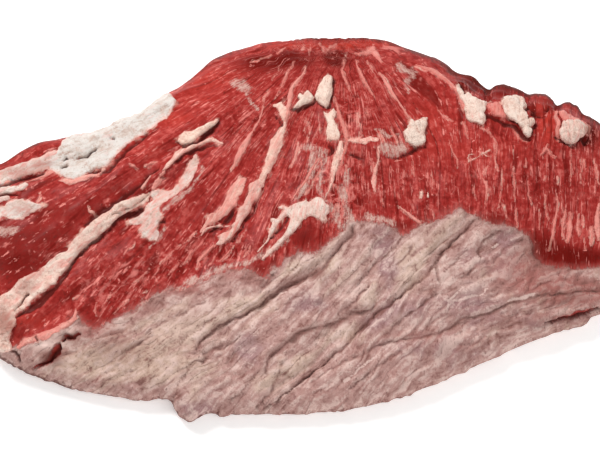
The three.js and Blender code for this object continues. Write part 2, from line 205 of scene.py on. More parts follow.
    (0.05, 0.3, [(172, 252, 0.9), (164, 261, 1.3), (158, 268, 0.9)]),
    (0.05, 0.3, [(150, 268, 0.9), (141, 277, 1.3), (134, 284, 0.9)]),
    (0.1, 0.4, [(133, 243, 1.1), (127, 249, 1.2), (123, 255, 0.8)]),
    (0.05, 0.3, [(118, 288, 0.9), (110, 296, 1.2), (104, 303, 0.9)]),
    (0.1, 0.4, [(96, 302, 1.1), (94, 310, 1.3), (97, 317, 0.9)]),
    (0.2, 0.5, [(73, 300, 0.9), (77, 297, 1.8), (80, 295, 1.2)]),
    (0.05, 0.3, [(186, 240, 0.9), (178, 248, 1.2), (171, 255, 0.8)]),
    (0.05, 0.3, [(128, 300, 0.9), (121, 306, 1.3), (114, 313, 0.9)]),
    (0.05, 0.3, [(160, 280, 0.9), (150, 288, 1.3), (143, 294, 0.9)]),
    # right of the middle
    (0.3, 1, [(399, 206, 1.3), (404, 210, 1.9), (410, 215, 2), (415, 219, 2.1), (420, 223, 2.3)]),
    (0.8, 0.7, [(421, 192, 2), (421, 197, 1.8)]),
    (0.7, 0.6, [(428, 192, 1), (428, 196, 1.8)]),
    # low on the right
    (0.2, 0.4, [(558, 194, 0.9), (558, 206, 1.3), (556, 219, 1.8), (554, 231, 1.6), (551, 242, 1.5),
        (549, 251, 1)]),
    (0.2, 0.5, [(566, 209, 1.2), (564, 220, 1.9), (563, 231, 1.6), (565, 238, 1.3)]),
    (0.1, 0.4, [(571, 212, 1.2), (570, 224, 2.8), (570, 234, 2.6), (569, 241, 1.4)]),
    (0.2, 0.4, [(578, 214, 1.1), (578, 225, 2), (579, 235, 1.4)]),
    (0.1, 0.3, [(583, 216, 0.9), (584, 226, 1.1)]),
    (0.15, 0.3, [(585, 238, 1.1), (585, 249, 1.1)]),
    (0.2, 0.4, [(592, 226, 1.2), (592, 236, 2), (591, 245, 1.2)]),
    (0.25, 0.5, [(599, 204, 1.6), (598, 216, 2.8), (598, 228, 3), (599, 240, 1.6)]),
    # round the pocket and under the fat on the back left
    (0.3, 1.0, [(19, 347, 2), (26, 341, 3), (35, 339, 3.6), (46, 335, 4.2), (57, 330, 4), (67, 325, 3.4),
        (75, 318, 2.8), (75, 310, 1.6)]),
    (0.45, 0.9, [(61, 180, 1.4), (70, 182, 2.4), (79, 179, 2.8), (88, 176, 2.4), (97, 173, 1.8),
        (105, 168, 1)]),
]

# Slabs of fat that lie on the meat, each a piece of its own: its outline, how high it rises in mm, how
# creamy and how grey it is, how many pixels its edge is torn, how dark the shadow is at its foot on the
# right, and for some how far it wraps round an edge.
SLABS = {
    "back_left_fat": dict(cream=0.85, grey=1.0, rise=1.1, torn=0.9, foot=0, wraps=-0.7, outline=[
        (62, 141), (72, 131), (86, 125), (100, 118), (116, 109), (132, 102), (148, 95), (160, 91), (170, 93),
        (177, 100), (172, 110), (167, 118), (157, 124), (149, 130), (140, 136), (130, 141), (124, 147),
        (117, 155), (110, 164), (106, 167), (98, 169), (88, 173), (80, 178), (73, 180), (64, 178), (59, 174),
        (52, 172), (46, 168), (44, 162), (52, 157), (58, 150)]),
    "long_seam": dict(cream=0.68, grey=0.3, rise=0.9, torn=1.5, foot=0.3, outline=[
        (152, 191), (141, 194), (133, 197), (120, 200), (113, 204), (107, 210), (97, 214), (91, 221),
        (83, 228), (75, 237), (69, 244), (67, 250), (58, 253), (52, 259), (45, 265), (37, 271), (28, 275),
        (18, 279), (12, 287), (2, 294), (-10, 303), (-18, 316), (-16, 332), (-6, 346), (4, 352), (12, 350),
        (10, 340), (12, 331), (16, 322), (15, 315), (24, 309), (34, 299), (45, 290), (55, 284), (58, 277),
        (66, 270), (74, 261), (82, 251), (93, 244), (103, 235), (112, 226), (119, 219), (126, 215),
        (134, 210), (144, 205), (150, 200)]),
    "seam_veil": dict(cream=0.62, grey=0.7, rise=0.5, torn=1.5, foot=0, outline=[
        (196, 152), (199, 158), (197, 168), (194, 176), (188, 184), (182, 190), (174, 196), (166, 202),
        (160, 208), (164, 214), (161, 220), (158, 228), (160, 233), (157, 240), (150, 242), (146, 238),
        (140, 238), (141, 233), (137, 229), (141, 224), (133, 225), (128, 224), (127, 220), (133, 217),
        (140, 214), (144, 208), (147, 202), (152, 199), (148, 194), (152, 190), (158, 189), (163, 189),
        (168, 190), (173, 187), (178, 183), (181, 176), (185, 170), (188, 163), (192, 158)]),
    "leaf": dict(cream=0.95, grey=0, rise=1.3, torn=0.5, foot=1, outline=[
        (177, 141), (179, 135), (184, 131), (192, 130), (200, 126), (209, 122), (217, 118), (220, 119),
        (214, 126), (207, 131), (200, 136), (193, 141), (186, 144), (180, 144)]),
    "leaf_strand": dict(cream=0.55, grey=0.1, rise=0.7, torn=1.1, foot=0.5, outline=[
        (180, 147), (188, 144), (197, 141), (206, 138), (213, 136), (218, 139), (227, 144), (218, 144),
        (211, 141), (204, 144), (196, 147), (189, 151), (184, 153), (178, 159), (173, 164), (168, 169),
        (162, 171), (165, 163), (171, 156), (175, 150)]),
    "left_patch": dict(cream=0.68, grey=0.8, rise=0.5, torn=1.8, foot=0, outline=[
        (-24, 224), (-16, 214), (-6, 207), (4, 204), (9, 200), (18, 199), (28, 198), (34, 202), (47, 206),
        (38, 209), (30, 213), (22, 218), (12, 219), (2, 217), (-8, 222)]),
    "lump_a": dict(cream=0.95, grey=0.15, rise=1.3, torn=1.1, foot=1, outline=[
        (291, 109), (295, 104), (299, 99), (296, 95), (301, 90), (303, 94), (307, 86), (310, 90), (315, 97),
        (313, 101), (309, 105), (303, 106), (297, 110)]),
    "lump_b": dict(cream=1.0, grey=0.15, rise=1.4, torn=1.0, foot=1, outline=[
        (316, 90), (319, 83), (323, 77), (327, 74), (332, 76), (335, 79), (333, 82), (335, 87), (333, 94),
        (331, 101), (330, 107), (326, 108), (321, 105), (316, 101), (314, 95)]),
    "lump_c": dict(cream=0.85, grey=0.1, rise=1.0, torn=1.4, foot=0.4, outline=[
        (323, 111), (328, 113), (331, 110), (334, 107), (337, 111), (335, 119), (338, 126), (341, 134),
        (339, 139), (333, 141), (326, 139), (325, 131), (327, 124), (325, 117)]),
    "block": dict(cream=1.0, grey=0.25, rise=1.6, torn=1.2, foot=0.8, outline=[
        (404, 136), (403, 131), (407, 127), (409, 120), (411, 117), (415, 120), (420, 118), (428, 116),
        (427, 126), (425, 134), (426, 141), (423, 145), (417, 147), (412, 146), (406, 142)]),
    "right_lump_a": dict(cream=0.8, grey=0.3, rise=1.6, torn=1.1, foot=0.4, outline=[
        (455, 84), (459, 79), (462, 87), (464, 93), (468, 88), (473, 94), (480, 97), (487, 97), (490, 93),
        (489, 102), (487, 108), (485, 114), (487, 120), (484, 125), (478, 124), (472, 122), (468, 121),
        (465, 115), (463, 110), (464, 104), (460, 99), (456, 92)]),
    "right_lump_b": dict(cream=0.9, grey=0.3, rise=2.0, torn=1.1, foot=1, outline=[
        (500, 100), (503, 96), (508, 94), (516, 93), (522, 95), (525, 99), (529, 104), (524, 108),
        (529, 113), (528, 118), (533, 117), (537, 121), (534, 125), (530, 127), (532, 130), (531, 135),
        (528, 138), (523, 134), (521, 128), (518, 123), (513, 120), (509, 119), (504, 113), (502, 106)]),
    "right_lump_c": dict(cream=0.7, grey=0.3, rise=1.9, torn=1.0, foot=0.6, outline=[
        (559, 130), (562, 122), (569, 119), (578, 120), (585, 121), (588, 127), (586, 134), (581, 138),
        (578, 143), (571, 147), (565, 144), (560, 138)]),
    "fan_patch": dict(cream=0.66, grey=0.5, rise=0.8, torn=1.2, foot=0.3, outline=[
        (278, 206), (283, 204), (288, 207), (294, 203), (300, 201), (306, 199), (309, 201), (312, 198),
        (318, 196), (323, 198), (327, 203), (330, 206), (330, 212), (327, 216), (328, 221), (322, 222),
        (316, 218), (310, 216), (305, 220), (300, 226), (295, 232), (288, 238), (281, 244), (275, 250),
        (267, 257), (260, 261), (267, 250), (275, 243), (280, 237), (285, 231), (288, 225), (290, 219),
        (286, 215), (283, 219), (279, 223), (276, 229), (272, 236), (266, 244), (259, 253), (256, 252),
        (263, 243), (267, 236), (269, 228), (272, 223), (269, 220), (272, 217), (277, 218), (279, 214),
        (283, 210), (278, 209)]),
    "back_left_band": dict(cream=0.6, grey=0.8, rise=0.9, torn=1.3, foot=0, wraps=-0.5, outline=[
        (-50, 190), (-34, 180), (-16, 172), (0, 168), (8, 165), (18, 162), (26, 160), (34, 157), (44, 155),
        (54, 151), (60, 151), (60, 164), (55, 171), (46, 170), (38, 172), (28, 174), (18, 177), (10, 180),
        (0, 186), (-14, 194), (-30, 204), (-46, 208)]),
    "back_left_rag": dict(cream=0.7, grey=0.6, rise=0.8, torn=1.6, foot=0, outline=[
        (-30, 210), (-18, 196), (-6, 188), (2, 183), (7, 181), (11, 185), (18, 184), (25, 181), (29, 184),
        (24, 189), (16, 191), (9, 194), (10, 199), (3, 201), (-6, 205), (-18, 214)]),
    "seam_strand_low": dict(cream=0.5, grey=0.35, rise=0.6, torn=1.3, foot=0.3, outline=[
        (250, 182), (257, 179), (263, 180), (262, 190), (259, 198), (253, 204), (252, 210), (247, 216),
        (243, 222), (240, 228), (236, 232), (233, 237), (227, 242), (222, 246), (215, 244), (219, 239),
        (215, 236), (222, 233), (228, 230), (231, 227), (224, 227), (215, 227), (208, 230), (203, 234),
        (199, 237), (203, 229), (210, 225), (220, 224), (231, 224), (235, 221), (237, 214), (238, 208),
        (243, 204), (246, 198), (248, 190)]),
    "seam_strand_high": dict(cream=0.42, grey=0.0, rise=0.5, torn=1.4, foot=0, outline=[
        (238, 176), (247, 178), (245, 188), (241, 195), (237, 201), (238, 205), (234, 208), (228, 214),
        (222, 219), (216, 222), (208, 226), (203, 232), (199, 234), (201, 228), (204, 221), (208, 214),
        (212, 212), (216, 211), (221, 206), (224, 202), (226, 196), (229, 189), (233, 182)]),
}

# Thin grey and pink film that lets the meat show through, as strokes.
FILM = [
    [(164, 210, 3), (170, 203, 3), (180, 196, 3), (190, 188, 3), (198, 178, 2.6), (202, 166, 2)],
    [(150, 246, 3), (158, 240, 3), (164, 228, 3)],
    [(246, 262, 3), (256, 258, 4), (268, 252, 4), (278, 245, 3.4), (288, 238, 3)],
    [(20, 356, 4), (30, 350, 6), (42, 345, 5), (52, 341, 4)],
    [(236, 83, 4.5), (242, 85, 6), (247, 88, 5)],
    [(246, 94, 1.6), (252, 103, 1.3), (257, 109, 1)],
    [(304, 147, 3.4), (313, 147, 5), (318, 152, 6), (314, 162, 5.5), (311, 172, 4.5), (307, 182, 4),
        (301, 192, 3), (295, 200, 2)],
    [(380, 146, 4.5), (388, 149, 6), (397, 150, 6.5), (405, 146, 5)],
    [(398, 66, 3), (408, 69, 4.5), (414, 72, 4), (407, 80, 2.6), (409, 91, 1.2)],
    [(330, 206, 5), (336, 216, 5.5), (341, 226, 5)],
    [(349, 168, 2.4), (347, 178, 3.6), (343, 188, 4.2), (344, 200, 3.6), (348, 212, 4.2), (352, 222, 5)],
    [(326, 150, 2.4), (325, 162, 3), (322, 174, 3), (318, 188, 3), (326, 200, 3)],
    [(377, 128, 1.6), (386, 136, 2.2), (398, 134, 2), (402, 144, 2)],
    [(382, 218, 4), (368, 216, 4.4), (392, 222, 3.4)],
    [(-20, 238, 7), (0, 232, 6), (16, 228, 3)],
    [(142, 303, 5), (156, 299, 6), (170, 294, 4.5), (184, 289, 3)],
    [(186, 282, 4), (204, 276, 4.5), (222, 268, 4), (238, 262, 3)],
    [(470, 222, 4), (490, 224, 3), (510, 230, 3)],
]

# Bare meat that shows inside the fat and the silverskin.
BARE = [
    [(36, 149, 2), (43, 146, 3.4), (52, 145, 3.4), (57, 146, 2)],
    [(46, 180, 2), (54, 179, 2.4), (60, 178, 1.4)],
    [(463, 82, 3.4), (472, 84, 4), (481, 88, 3.2)],
    [(493, 90, 2.2), (504, 88, 3), (515, 91, 2.6)],
    [(530, 101, 3.6), (541, 101, 5), (551, 105, 4)],
    [(234, 211, 2), (230, 218, 3), (225, 222, 2)],
    [(34, 368, 1.2), (44, 364, 2), (51, 358, 4), (56, 352, 4), (59, 345, 2)],
    [(64, 341, 1.6), (68, 337, 2.6), (74, 338, 1.4), (78, 335, 2.4)],
    [(552, 321, 0.8), (564, 318, 2.2), (577, 314, 3), (588, 311, 2.6), (598, 307, 1.4)],
    [(86, 321, 2), (90, 323, 3), (97, 322, 2.6)],
    [(102, 318, 2.4), (105, 312, 2)],
]

# Narrow dark gaps and shadows beside seams and lumps, and the pocket and the slit in the silverskin.
GAPS = [
    [(17, 315, 1.2), (25, 311, 2), (33, 306, 3), (42, 299, 3.6), (50, 291, 3), (57, 284, 2), (62, 276, 1.6),
        (70, 266, 1.6), (79, 255, 1.4), (87, 247, 1.4), (97, 240, 1.4), (108, 231, 1.4), (117, 222, 1.6),
        (125, 217, 2.2), (134, 213, 2.8), (142, 208, 1.6)],
    [(112, 214, 0.3), (120, 212, 0.4), (131, 208, 0.2), (140, 202, 0.3), (150, 194, 0.4)],
    [(28, 294, 0.8), (21, 302, 1), (14, 309, 0.8)],
    [(161, 222, 1.4), (165, 221, 1.6)],
    [(161, 178, 0.8), (163, 177, 0.8)],
    [(224, 223, 1), (229, 219, 2.2), (233, 213, 2.4), (235, 208, 1.2)],
    [(209, 231, 1), (214, 229, 1.6), (220, 228, 0.8)],
    [(257, 203, 1.2), (252, 212, 0.8), (243, 227, 1), (238, 234, 1.4), (232, 240, 1)],
    [(281, 224, 1), (276, 231, 1.6), (271, 238, 1.2)],
    [(13, 351, 1.2), (18, 355, 1.6), (21, 361, 1)],
    [(36, 337, 1), (38, 340, 1.1)],
    [(84, 224, 1.2), (93, 215, 1.4), (104, 208, 1.8), (115, 201, 2.2), (127, 192, 2.4), (138, 185, 2.4),
        (147, 174, 2), (156, 167, 1.4)],
    [(98, 174, 0.8), (110, 168, 1.2), (116, 160, 1.4), (125, 150, 1.4), (135, 141, 1.2), (146, 133, 0.9)],
    [(78, 159, 0.7), (86, 157, 1.1), (91, 153, 0.9), (96, 149, 0.6)],
    [(64, 161, 0.8), (67, 159, 1)],
    [(62, 168, 1), (68, 166, 0.9)],
    [(111, 138, 0.8), (114, 139, 0.9)],
    [(88, 173, 0.7), (94, 171, 1), (101, 169, 0.8)],
    [(-10, 190, 1.4), (0, 185, 1.8), (8, 181, 2), (20, 177.5, 1.6), (33, 174, 1.4), (44, 172, 0.8)],
    [(-6, 196, 1), (6, 194, 1.1), (18, 194, 1)],
    [(182, 145, 1.2), (192, 142, 1.5), (203, 138, 1.6), (212, 131, 1.4), (218, 125, 1)],
    [(176, 162, 1.4), (184, 155, 1.6), (194, 150, 1.6), (206, 146, 1.3), (216, 143, 0.9)],
    [(291, 108, 0.9), (299, 108, 1.1), (308, 104, 1.1), (315, 101, 1)],
    [(333, 79, 0.9), (334, 91, 1.2), (332, 100, 1.2), (328, 107, 1)],
    [(276, 114, 0.9), (279, 119, 1.3), (282, 124, 1.2)],
    [(388, 157, 1), (398, 158, 1.2), (406, 154, 1.4), (412, 152, 1.6), (420, 148, 1)],
    [(485, 112, 1), (490, 117, 1.4), (497, 120, 1.6), (505, 123, 1.6), (512, 126, 1.6), (518, 132, 1.8),
        (523, 138, 1.8), (531, 140, 1.2)],
    [(526, 107, 0.9), (527, 111, 1.1), (528, 116, 1)],
    [(533, 128, 1), (532, 132, 1)],
    [(461, 82, 1.4), (463, 88, 2.2), (464, 93, 1)],
    [(533, 108, 1), (534, 113, 1.6), (541, 115, 1)],
    [(546, 108, 1.4), (549, 105, 1.4)],
    [(583, 138, 1.2), (587, 142, 1.4), (590, 137, 0.8)],
    [(329, 144, 1.2), (333, 148, 1.8), (331, 152, 1.2)],
    [(351, 153, 1.2), (356, 156, 1.4), (361, 158, 1)],
    [(556, 138, 0.9), (566, 145, 1.2), (577, 143, 1.2), (584, 136, 1)],
    [(282, 222, 1.4), (287, 218, 1.4)],
    [(38, 366, 0.8), (46, 363, 1.2), (54, 357, 1.6), (58, 351, 1.4), (60, 345, 0.8)],
    [(64, 341, 0.7), (68, 338, 1), (71, 337, 0.6)],
    [(545, 323, 0.6), (558, 320, 1), (572, 317.5, 1.2), (587, 313.5, 1.2), (600, 308, 0.9)],
]

# The lobes and notches along the edges: patches with a height in mm.
LOBES = [
    (0, 158, 22, 9, -2.2), (46, 147, 14, 7, 1.7), (212, 64, 30, 12, 1.0), (384, 41, 20, 8, 1.5),
    (520, 92, 72, 14, -2.4), (606, 118, 24, 12, -1.0), (470, 78, 13, 8, 1.2), (489, 90, 4, 9, -4.2),
    (506, 86, 12, 7, 2.4), (529, 97, 3.5, 7, -2.0), (543, 95, 10, 7, 1.8), (559, 104, 3.5, 8, -3.2),
    (568, 106, 7, 6, 1.4), (583, 114, 5, 7, -1.6), (528, 345, 34, 12, -2.8), (456, 72, 14, 8, -2.4),
    (170, 402, 6, 8, -2.4), (221, 413, 10, 10, 2.2),
]

# Patches of darker meat, partly painted shade, and of lighter meat, partly painted light.
DARKER_AND_SHADED = [
    (2, 322, 14, 20, 1.5), (28, 288, 12, 9, 0.9), (20, 172, 30, 9, 1.1), (45, 164, 14, 6, 0.95),
    (20, 208, 22, 8, 0.55), (78, 244, 8, 6, 0.2), (150, 218, 12, 10, 0.5), (500, 232, 24, 6, 0.45),
    (215, 216, 10, 8, 0.5), (186, 170, 6, 10, 0.4), (285, 228, 10, 8, 0.3), (322, 214, 8, 8, 0.35),
    (118, 284, 50, 24, 0.4), (140, 176, 34, 20, 0.35), (200, 200, 26, 34, 0.35), (250, 74, 50, 14, 0.3),
    (120, 352, 30, 13, 0.55), (190, 319, 22, 8, 0.3), (520, 322, 34, 9, 0.5), (566, 300, 30, 9, 0.45),
    (440, 352, 34, 9, 0.35), (150, 302, 14, 6, 0.4), (318, 274, 9, 5, 0.6), (302, 331, 16, 5, 0.5),
    (352, 315, 12, 4, 0.5), (382, 236, 12, 8, 0.35), (436, 240, 18, 12, 0.25), (322, 278, 14, 6, 0.2),
    (30, 352, 14, 7, 0.2), (262, 62, 26, 8, 1.0), (300, 60, 20, 8, 0.8), (338, 56, 12, 9, 1.0),
    (336, 60, 10, 6, 0.6), (30, 235, 60, 12, 0.5), (60, 210, 50, 10, 0.35), (20, 262, 40, 16, 0.6),
    (130, 190, 26, 8, 0.5), (250, 245, 22, 8, 0.5), (305, 238, 16, 12, 0.9), (545, 250, 26, 14, 0.9),
    (590, 258, 30, 8, 0.8), (560, 200, 40, 30, 0.35), (468, 84, 14, 6, 0.9), (545, 100, 14, 5, 0.8),
    (592, 130, 12, 12, 0.7), (258, 268, 12, 8, 0.8), (190, 252, 16, 6, 0.4), (420, 165, 30, 12, 0.2),
    (495, 215, 20, 6, 0.7), (360, 195, 24, 16, 0.35), (40, 240, 90, 36, 0.35), (0, 270, 30, 20, 0.3),
    (90, 205, 30, 20, 0.3), (30, 325, 20, 12, 0.35), (270, 61, 18, 4, 0.9), (289, 53, 10, 7, 0.9),
    (334, 56, 9, 6, 0.9), (353, 154, 8, 3, 0.8), (548, 106, 5, 4, 1.0), (464, 86, 4, 7, 1.4),
    (472, 82, 15, 6, 1.0), (503, 89, 14, 5, 1.0), (532, 104, 5, 6, 1.1), (549, 108, 5, 5, 1.2),
    (538, 112, 6, 3, 1.0), (52, 356, 12, 9, 1.6), (70, 338, 10, 5, 1.4), (590, 133, 8, 14, 1.0),
    (96, 318, 14, 8, 0.5), (400, 225, 16, 6, 0.9), (545, 245, 14, 12, 0.6), (575, 255, 30, 9, 0.9),
    (495, 222, 12, 4, 0.6),
]
LIGHTER_AND_LIT = [
    (44, 344, 16, 6, 1.5), (64, 330, 12, 6, 0.7), (400, 317, 14, 6, 0.45), (248, 346, 14, 9, 0.3),
    (185, 330, 36, 16, 0.3), (185, 376, 16, 10, 0.4), (268, 392, 14, 9, 0.35), (470, 290, 13, 9, 0.5),
    (408, 274, 10, 14, 0.35), (350, 292, 9, 18, 0.35), (366, 298, 6, 9, 0.45), (340, 330, 20, 5, 0.2),
    (398, 296, 7, 4, 0.5), (205, 78, 40, 12, 0.7), (280, 44, 60, 4, 0.9), (370, 44, 50, 4, 0.7),
    (175, 118, 24, 8, 0.8), (200, 100, 22, 8, 0.5), (548, 125, 9, 15, 1.3), (541, 102, 9, 5, 0.7),
    (495, 110, 8, 10, 0.6), (346, 45, 12, 4, 0.8), (430, 120, 26, 26, 0.4), (150, 150, 22, 12, 0.35),
    (30, 320, 18, 8, 0.5), (470, 150, 60, 12, 0.3),
]
# How thickly the thin flecks of fat lie in the meat.
FLECKS = [
    (245, 122, 22, 22, 0.9), (392, 178, 26, 16, 0.5), (310, 180, 26, 24, 0.7), (350, 200, 26, 22, 0.6),
    (170, 262, 50, 22, 1.2), (110, 290, 40, 22, 1.3), (235, 250, 30, 14, 1.2), (340, 175, 22, 36, 1.3),
    (355, 120, 26, 30, 0.8), (300, 130, 26, 28, 0.5), (560, 190, 50, 50, 0.4), (480, 185, 34, 34, 0.3),
    (420, 190, 40, 20, 0.5), (60, 250, 50, 14, 0.35), (290, 190, 22, 24, 0.5), (540, 170, 60, 20, 0.4),
    (400, 80, 30, 24, 0.5), (330, 50, 60, 8, 0.7), (335, 215, 18, 16, 1.0), (350, 100, 14, 20, 0.8),
    (505, 210, 20, 8, 0.8), (215, 75, 14, 8, 0.6), (440, 200, 30, 14, 0.4),
]

# The upper border of the silverskin, from the left end to the right end.
SKIN_BORDER = [
    (-60, 300), (-34, 322), (-12, 338), (4, 346), (14, 347), (23, 341), (34, 340), (48, 338), (57, 332),
    (66, 325), (75, 314), (78, 316), (82, 323), (96, 327), (107, 325), (117, 321), (126, 315), (134, 309),
    (145, 302), (153, 295), (163, 290), (184, 289), (198, 283), (208, 278), (219, 272), (229, 268),
    (247, 268), (258, 276), (266, 279), (271, 274), (275, 268), (284, 262), (292, 258), (301, 253),
    (312, 254), (320, 252), (328, 244), (337, 236), (345, 229), (351, 222), (368, 222), (382, 224),
    (395, 229), (401, 234), (410, 234), (419, 225), (433, 219), (450, 214), (461, 210), (473, 215),
    (485, 222), (502, 226), (516, 230), (526, 237), (532, 246), (537, 259), (543, 264), (562, 267),
    (575, 269), (600, 268), (625, 266), (660, 258),
]

# Creases in the silverskin, drawn from the upper right down: a depth in mm and a stroke.
CREASES = [
    (1.7, [(353, 227, 1.6), (350, 235, 2.4), (341, 248, 1.8), (329, 262, 1.8), (318, 272, 3.2),
        (306, 277, 2.6), (295, 282, 2), (284, 288, 1.8), (270, 297, 1.6), (258, 306, 1.6), (247, 314, 1.4),
        (233, 319, 1.3), (219, 326, 1.2), (205, 338, 1.2), (196, 350, 1)]),
    (1.8, [(273, 275, 2), (268, 281, 2.6), (263, 287, 1.6)]),
    (1, [(404, 236, 1.4), (395, 247, 1.6), (387, 255, 1.5), (376, 264, 1.3), (366, 273, 1.2),
        (358, 281, 1.1)]),
    (1.2, [(369, 285, 1.2), (358, 299, 1.5), (349, 306, 1.3), (338, 314, 1)]),
    (1.1, [(375, 303, 1.4), (371, 310, 2), (360, 312, 2), (350, 314, 2.4), (344, 320, 2.2), (332, 325, 2.4),
        (318, 326, 2.4), (301, 332, 1.8), (288, 343, 2), (276, 352, 2.2), (266, 364, 2.4)]),
    (2, [(474, 222, 1.6), (462, 233, 1.9), (451, 243, 1.7), (441, 255, 1.6), (433, 265, 1.6),
        (426, 276, 1.7), (416, 283, 1.7), (406, 291, 1.8), (395, 300, 1.8), (386, 307, 1.9), (375, 314, 2),
        (364, 326, 1.8), (355, 336, 1.6), (344, 347, 1.5), (330, 359, 1.4), (314, 372, 1.3), (296, 385, 1.2),
        (278, 399, 1.2), (264, 409, 1.2)]),
    (0.8, [(412, 245, 1), (408, 253, 1.6), (401, 261, 1.5), (395, 266, 1)]),
    (0.7, [(394, 258, 1), (391, 268, 1.4), (392, 281, 1.2)]),
    (0.7, [(375, 234, 1), (374, 243, 1.5), (370, 252, 1)]),
    (0.8, [(311, 287, 1), (303, 294, 1.5), (296, 298, 1.4), (289, 301, 1)]),
    (0.5, [(288, 304, 0.8), (278, 309, 1), (270, 312, 0.8)]),
    (0.5, [(328, 250, 0.8), (314, 257, 1), (300, 266, 1.1), (288, 272, 0.9)]),
    (0.9, [(281, 364, 1.2), (275, 380, 1.5), (270, 394, 1.4), (256, 407, 1.2)]),
    (0.8, [(208, 358, 1.2), (196, 361, 1.3), (187, 369, 1.2), (184, 380, 0.8)]),
    (1.1, [(439, 258, 1.2), (435, 269, 1.5), (438, 280, 1.9)]),
    (0.6, [(450, 246, 1), (447, 258, 1.1)]),
    (0.7, [(466, 250, 0.9), (455, 263, 1.2), (444, 273, 1.1)]),
    (1.0, [(501, 232, 1.1), (489, 236, 1.5), (481, 241, 1.7), (478, 250, 1.6), (479, 258, 1.3)]),
    (0.55, [(521, 241, 1), (508, 247, 1.2), (500, 254, 1.2), (493, 263, 1)]),
    (0.5, [(527, 251, 1), (521, 258, 1.2), (516, 263, 1)]),
    (0.6, [(486, 262, 1), (474, 268, 1.2), (462, 278, 1)]),
    (0.8, [(640, 286, 1), (600, 290, 1.2), (562, 293, 1.2), (540, 296, 1.4), (525, 299, 1.7),
        (511, 302, 1.9), (499, 307, 2), (490, 313, 2), (476, 317, 1.8), (461, 320, 1.9), (448, 329, 2),
        (433, 335, 1.8), (419, 338, 1.7), (404, 339, 1.6), (390, 342, 1.6), (375, 347, 1.6), (361, 355, 1.5),
        (344, 361, 1.4), (330, 369, 1.3), (312, 382, 1.2)]),
    (0.9, [(438, 294, 1), (426, 302, 1.3), (412, 312, 1.5), (399, 322, 1.4), (390, 330, 1.1)]),
    (0.8, [(402, 352, 1), (384, 362, 1.3), (366, 375, 1.2), (350, 389, 1)]),
    (0.8, [(300, 336, 1.4), (284, 346, 1.8), (272, 356, 1.8), (265, 368, 1.6), (268, 378, 1.2)]),
    (0.8, [(252, 380, 1), (240, 392, 1.3), (226, 402, 1.2)]),
    (1.3, [(222, 345, 1.2), (211, 349, 2), (205, 354, 2.2), (203, 362, 1.8)]),
    (0.8, [(240, 336, 1), (233, 342, 1.2), (226, 348, 1.2), (217, 349, 1)]),
    (0.6, [(206, 301, 0.9), (190, 309, 1.1), (176, 316, 1)]),
    (0.6, [(186, 313, 0.9), (168, 320, 1.2), (152, 329, 1.1), (140, 339, 0.9)]),
    (0.7, [(152, 336, 0.9), (138, 344, 1.3), (126, 353, 1.2), (120, 361, 1)]),
    (0.6, [(114, 339, 0.9), (100, 348, 1.2), (88, 356, 1)]),
    (0.6, [(216, 318, 0.9), (202, 326, 1.1), (186, 338, 1.1), (176, 349, 0.9)]),
    (0.6, [(196, 364, 0.9), (184, 374, 1.2), (178, 384, 1.2)]),
    (0.6, [(132, 372, 0.9), (112, 380, 1.1), (94, 384, 0.9)]),
    (0.8, [(180, 290, 1), (166, 292, 1.5), (156, 298, 1.5), (146, 305, 1.1)]),
]

# Ridges of silverskin between the creases, made paler by painted light: a height in mm and a stroke.
RIDGES = [
    (2.2, [(462, 214, 4), (450, 224, 6), (438, 236, 7), (427, 249, 7), (418, 262, 6), (409, 275, 5.5),
        (399, 288, 5), (390, 298, 4)]),
    (1.9, [(350, 226, 3), (341, 238, 4.5), (331, 249, 5), (318, 258, 6), (304, 265, 6.5), (290, 271, 6),
        (276, 283, 5), (262, 295, 4), (248, 304, 4)]),
    (1.2, [(376, 238, 4), (366, 252, 5), (354, 266, 5.5), (342, 278, 5.5), (328, 290, 5), (314, 300, 5)]),
    (1.8, [(374, 286, 2.4), (370, 293, 3.6), (364, 301, 4), (358, 307, 2.6)]),
    (1.4, [(352, 322, 4), (338, 334, 5), (322, 346, 5.5), (304, 360, 6), (288, 372, 5)]),
    (1.1, [(282, 362, 4), (272, 376, 5), (258, 388, 5)]),
    (0.9, [(368, 262, 2.5), (358, 274, 4), (351, 286, 4.6), (346, 298, 4.6), (339, 306, 3)]),
    (0.8, [(346, 246, 3), (338, 258, 4.4), (329, 272, 4.4), (317, 286, 4)]),
    (0.6, [(482, 262, 3.5), (480, 274, 4.5), (476, 284, 4)]),
    (1, [(246, 302, 3.5), (238, 308, 4), (226, 314, 4), (206, 326, 4.5), (190, 342, 4.5)]),
    (0.8, [(182, 330, 4), (166, 344, 5), (152, 358, 5)]),
    (1, [(196, 388, 5), (192, 400, 8), (190, 412, 6)]),
]

# White branching threads on the silverskin, and one painted highlight along a ridge's edge.
THREADS = [
    [(448, 302, 1.3), (455, 295, 1.2), (462, 288, 0.9)],
    [(450, 301, 1.3), (464, 299, 1.1), (477, 296, 1), (487, 290, 0.8)],
    [(450, 300, 1.2), (446, 310, 1)],
    [(441, 285, 0.9), (448, 284, 1.1), (455, 281, 0.9)],
    [(279, 296, 1.4), (287, 293, 1.3)],
    [(238, 310, 1.6), (246, 306, 2), (252, 303, 1.5)],
    [(492, 247, 1.5), (498, 245, 1.3)],
    [(344, 382, 1.6), (350, 378, 1.6)],
    # A painted highlight along the edge of a ridge, not a thread.
    [(409, 284, 0.6), (403, 290, 1.1), (397, 296, 1.1), (392, 303, 0.6)],
    [(372, 358, 1), (360, 368, 1.1), (348, 380, 0.9)],
    [(508, 301, 0.9), (522, 297, 1.1), (534, 295, 0.9)],
]

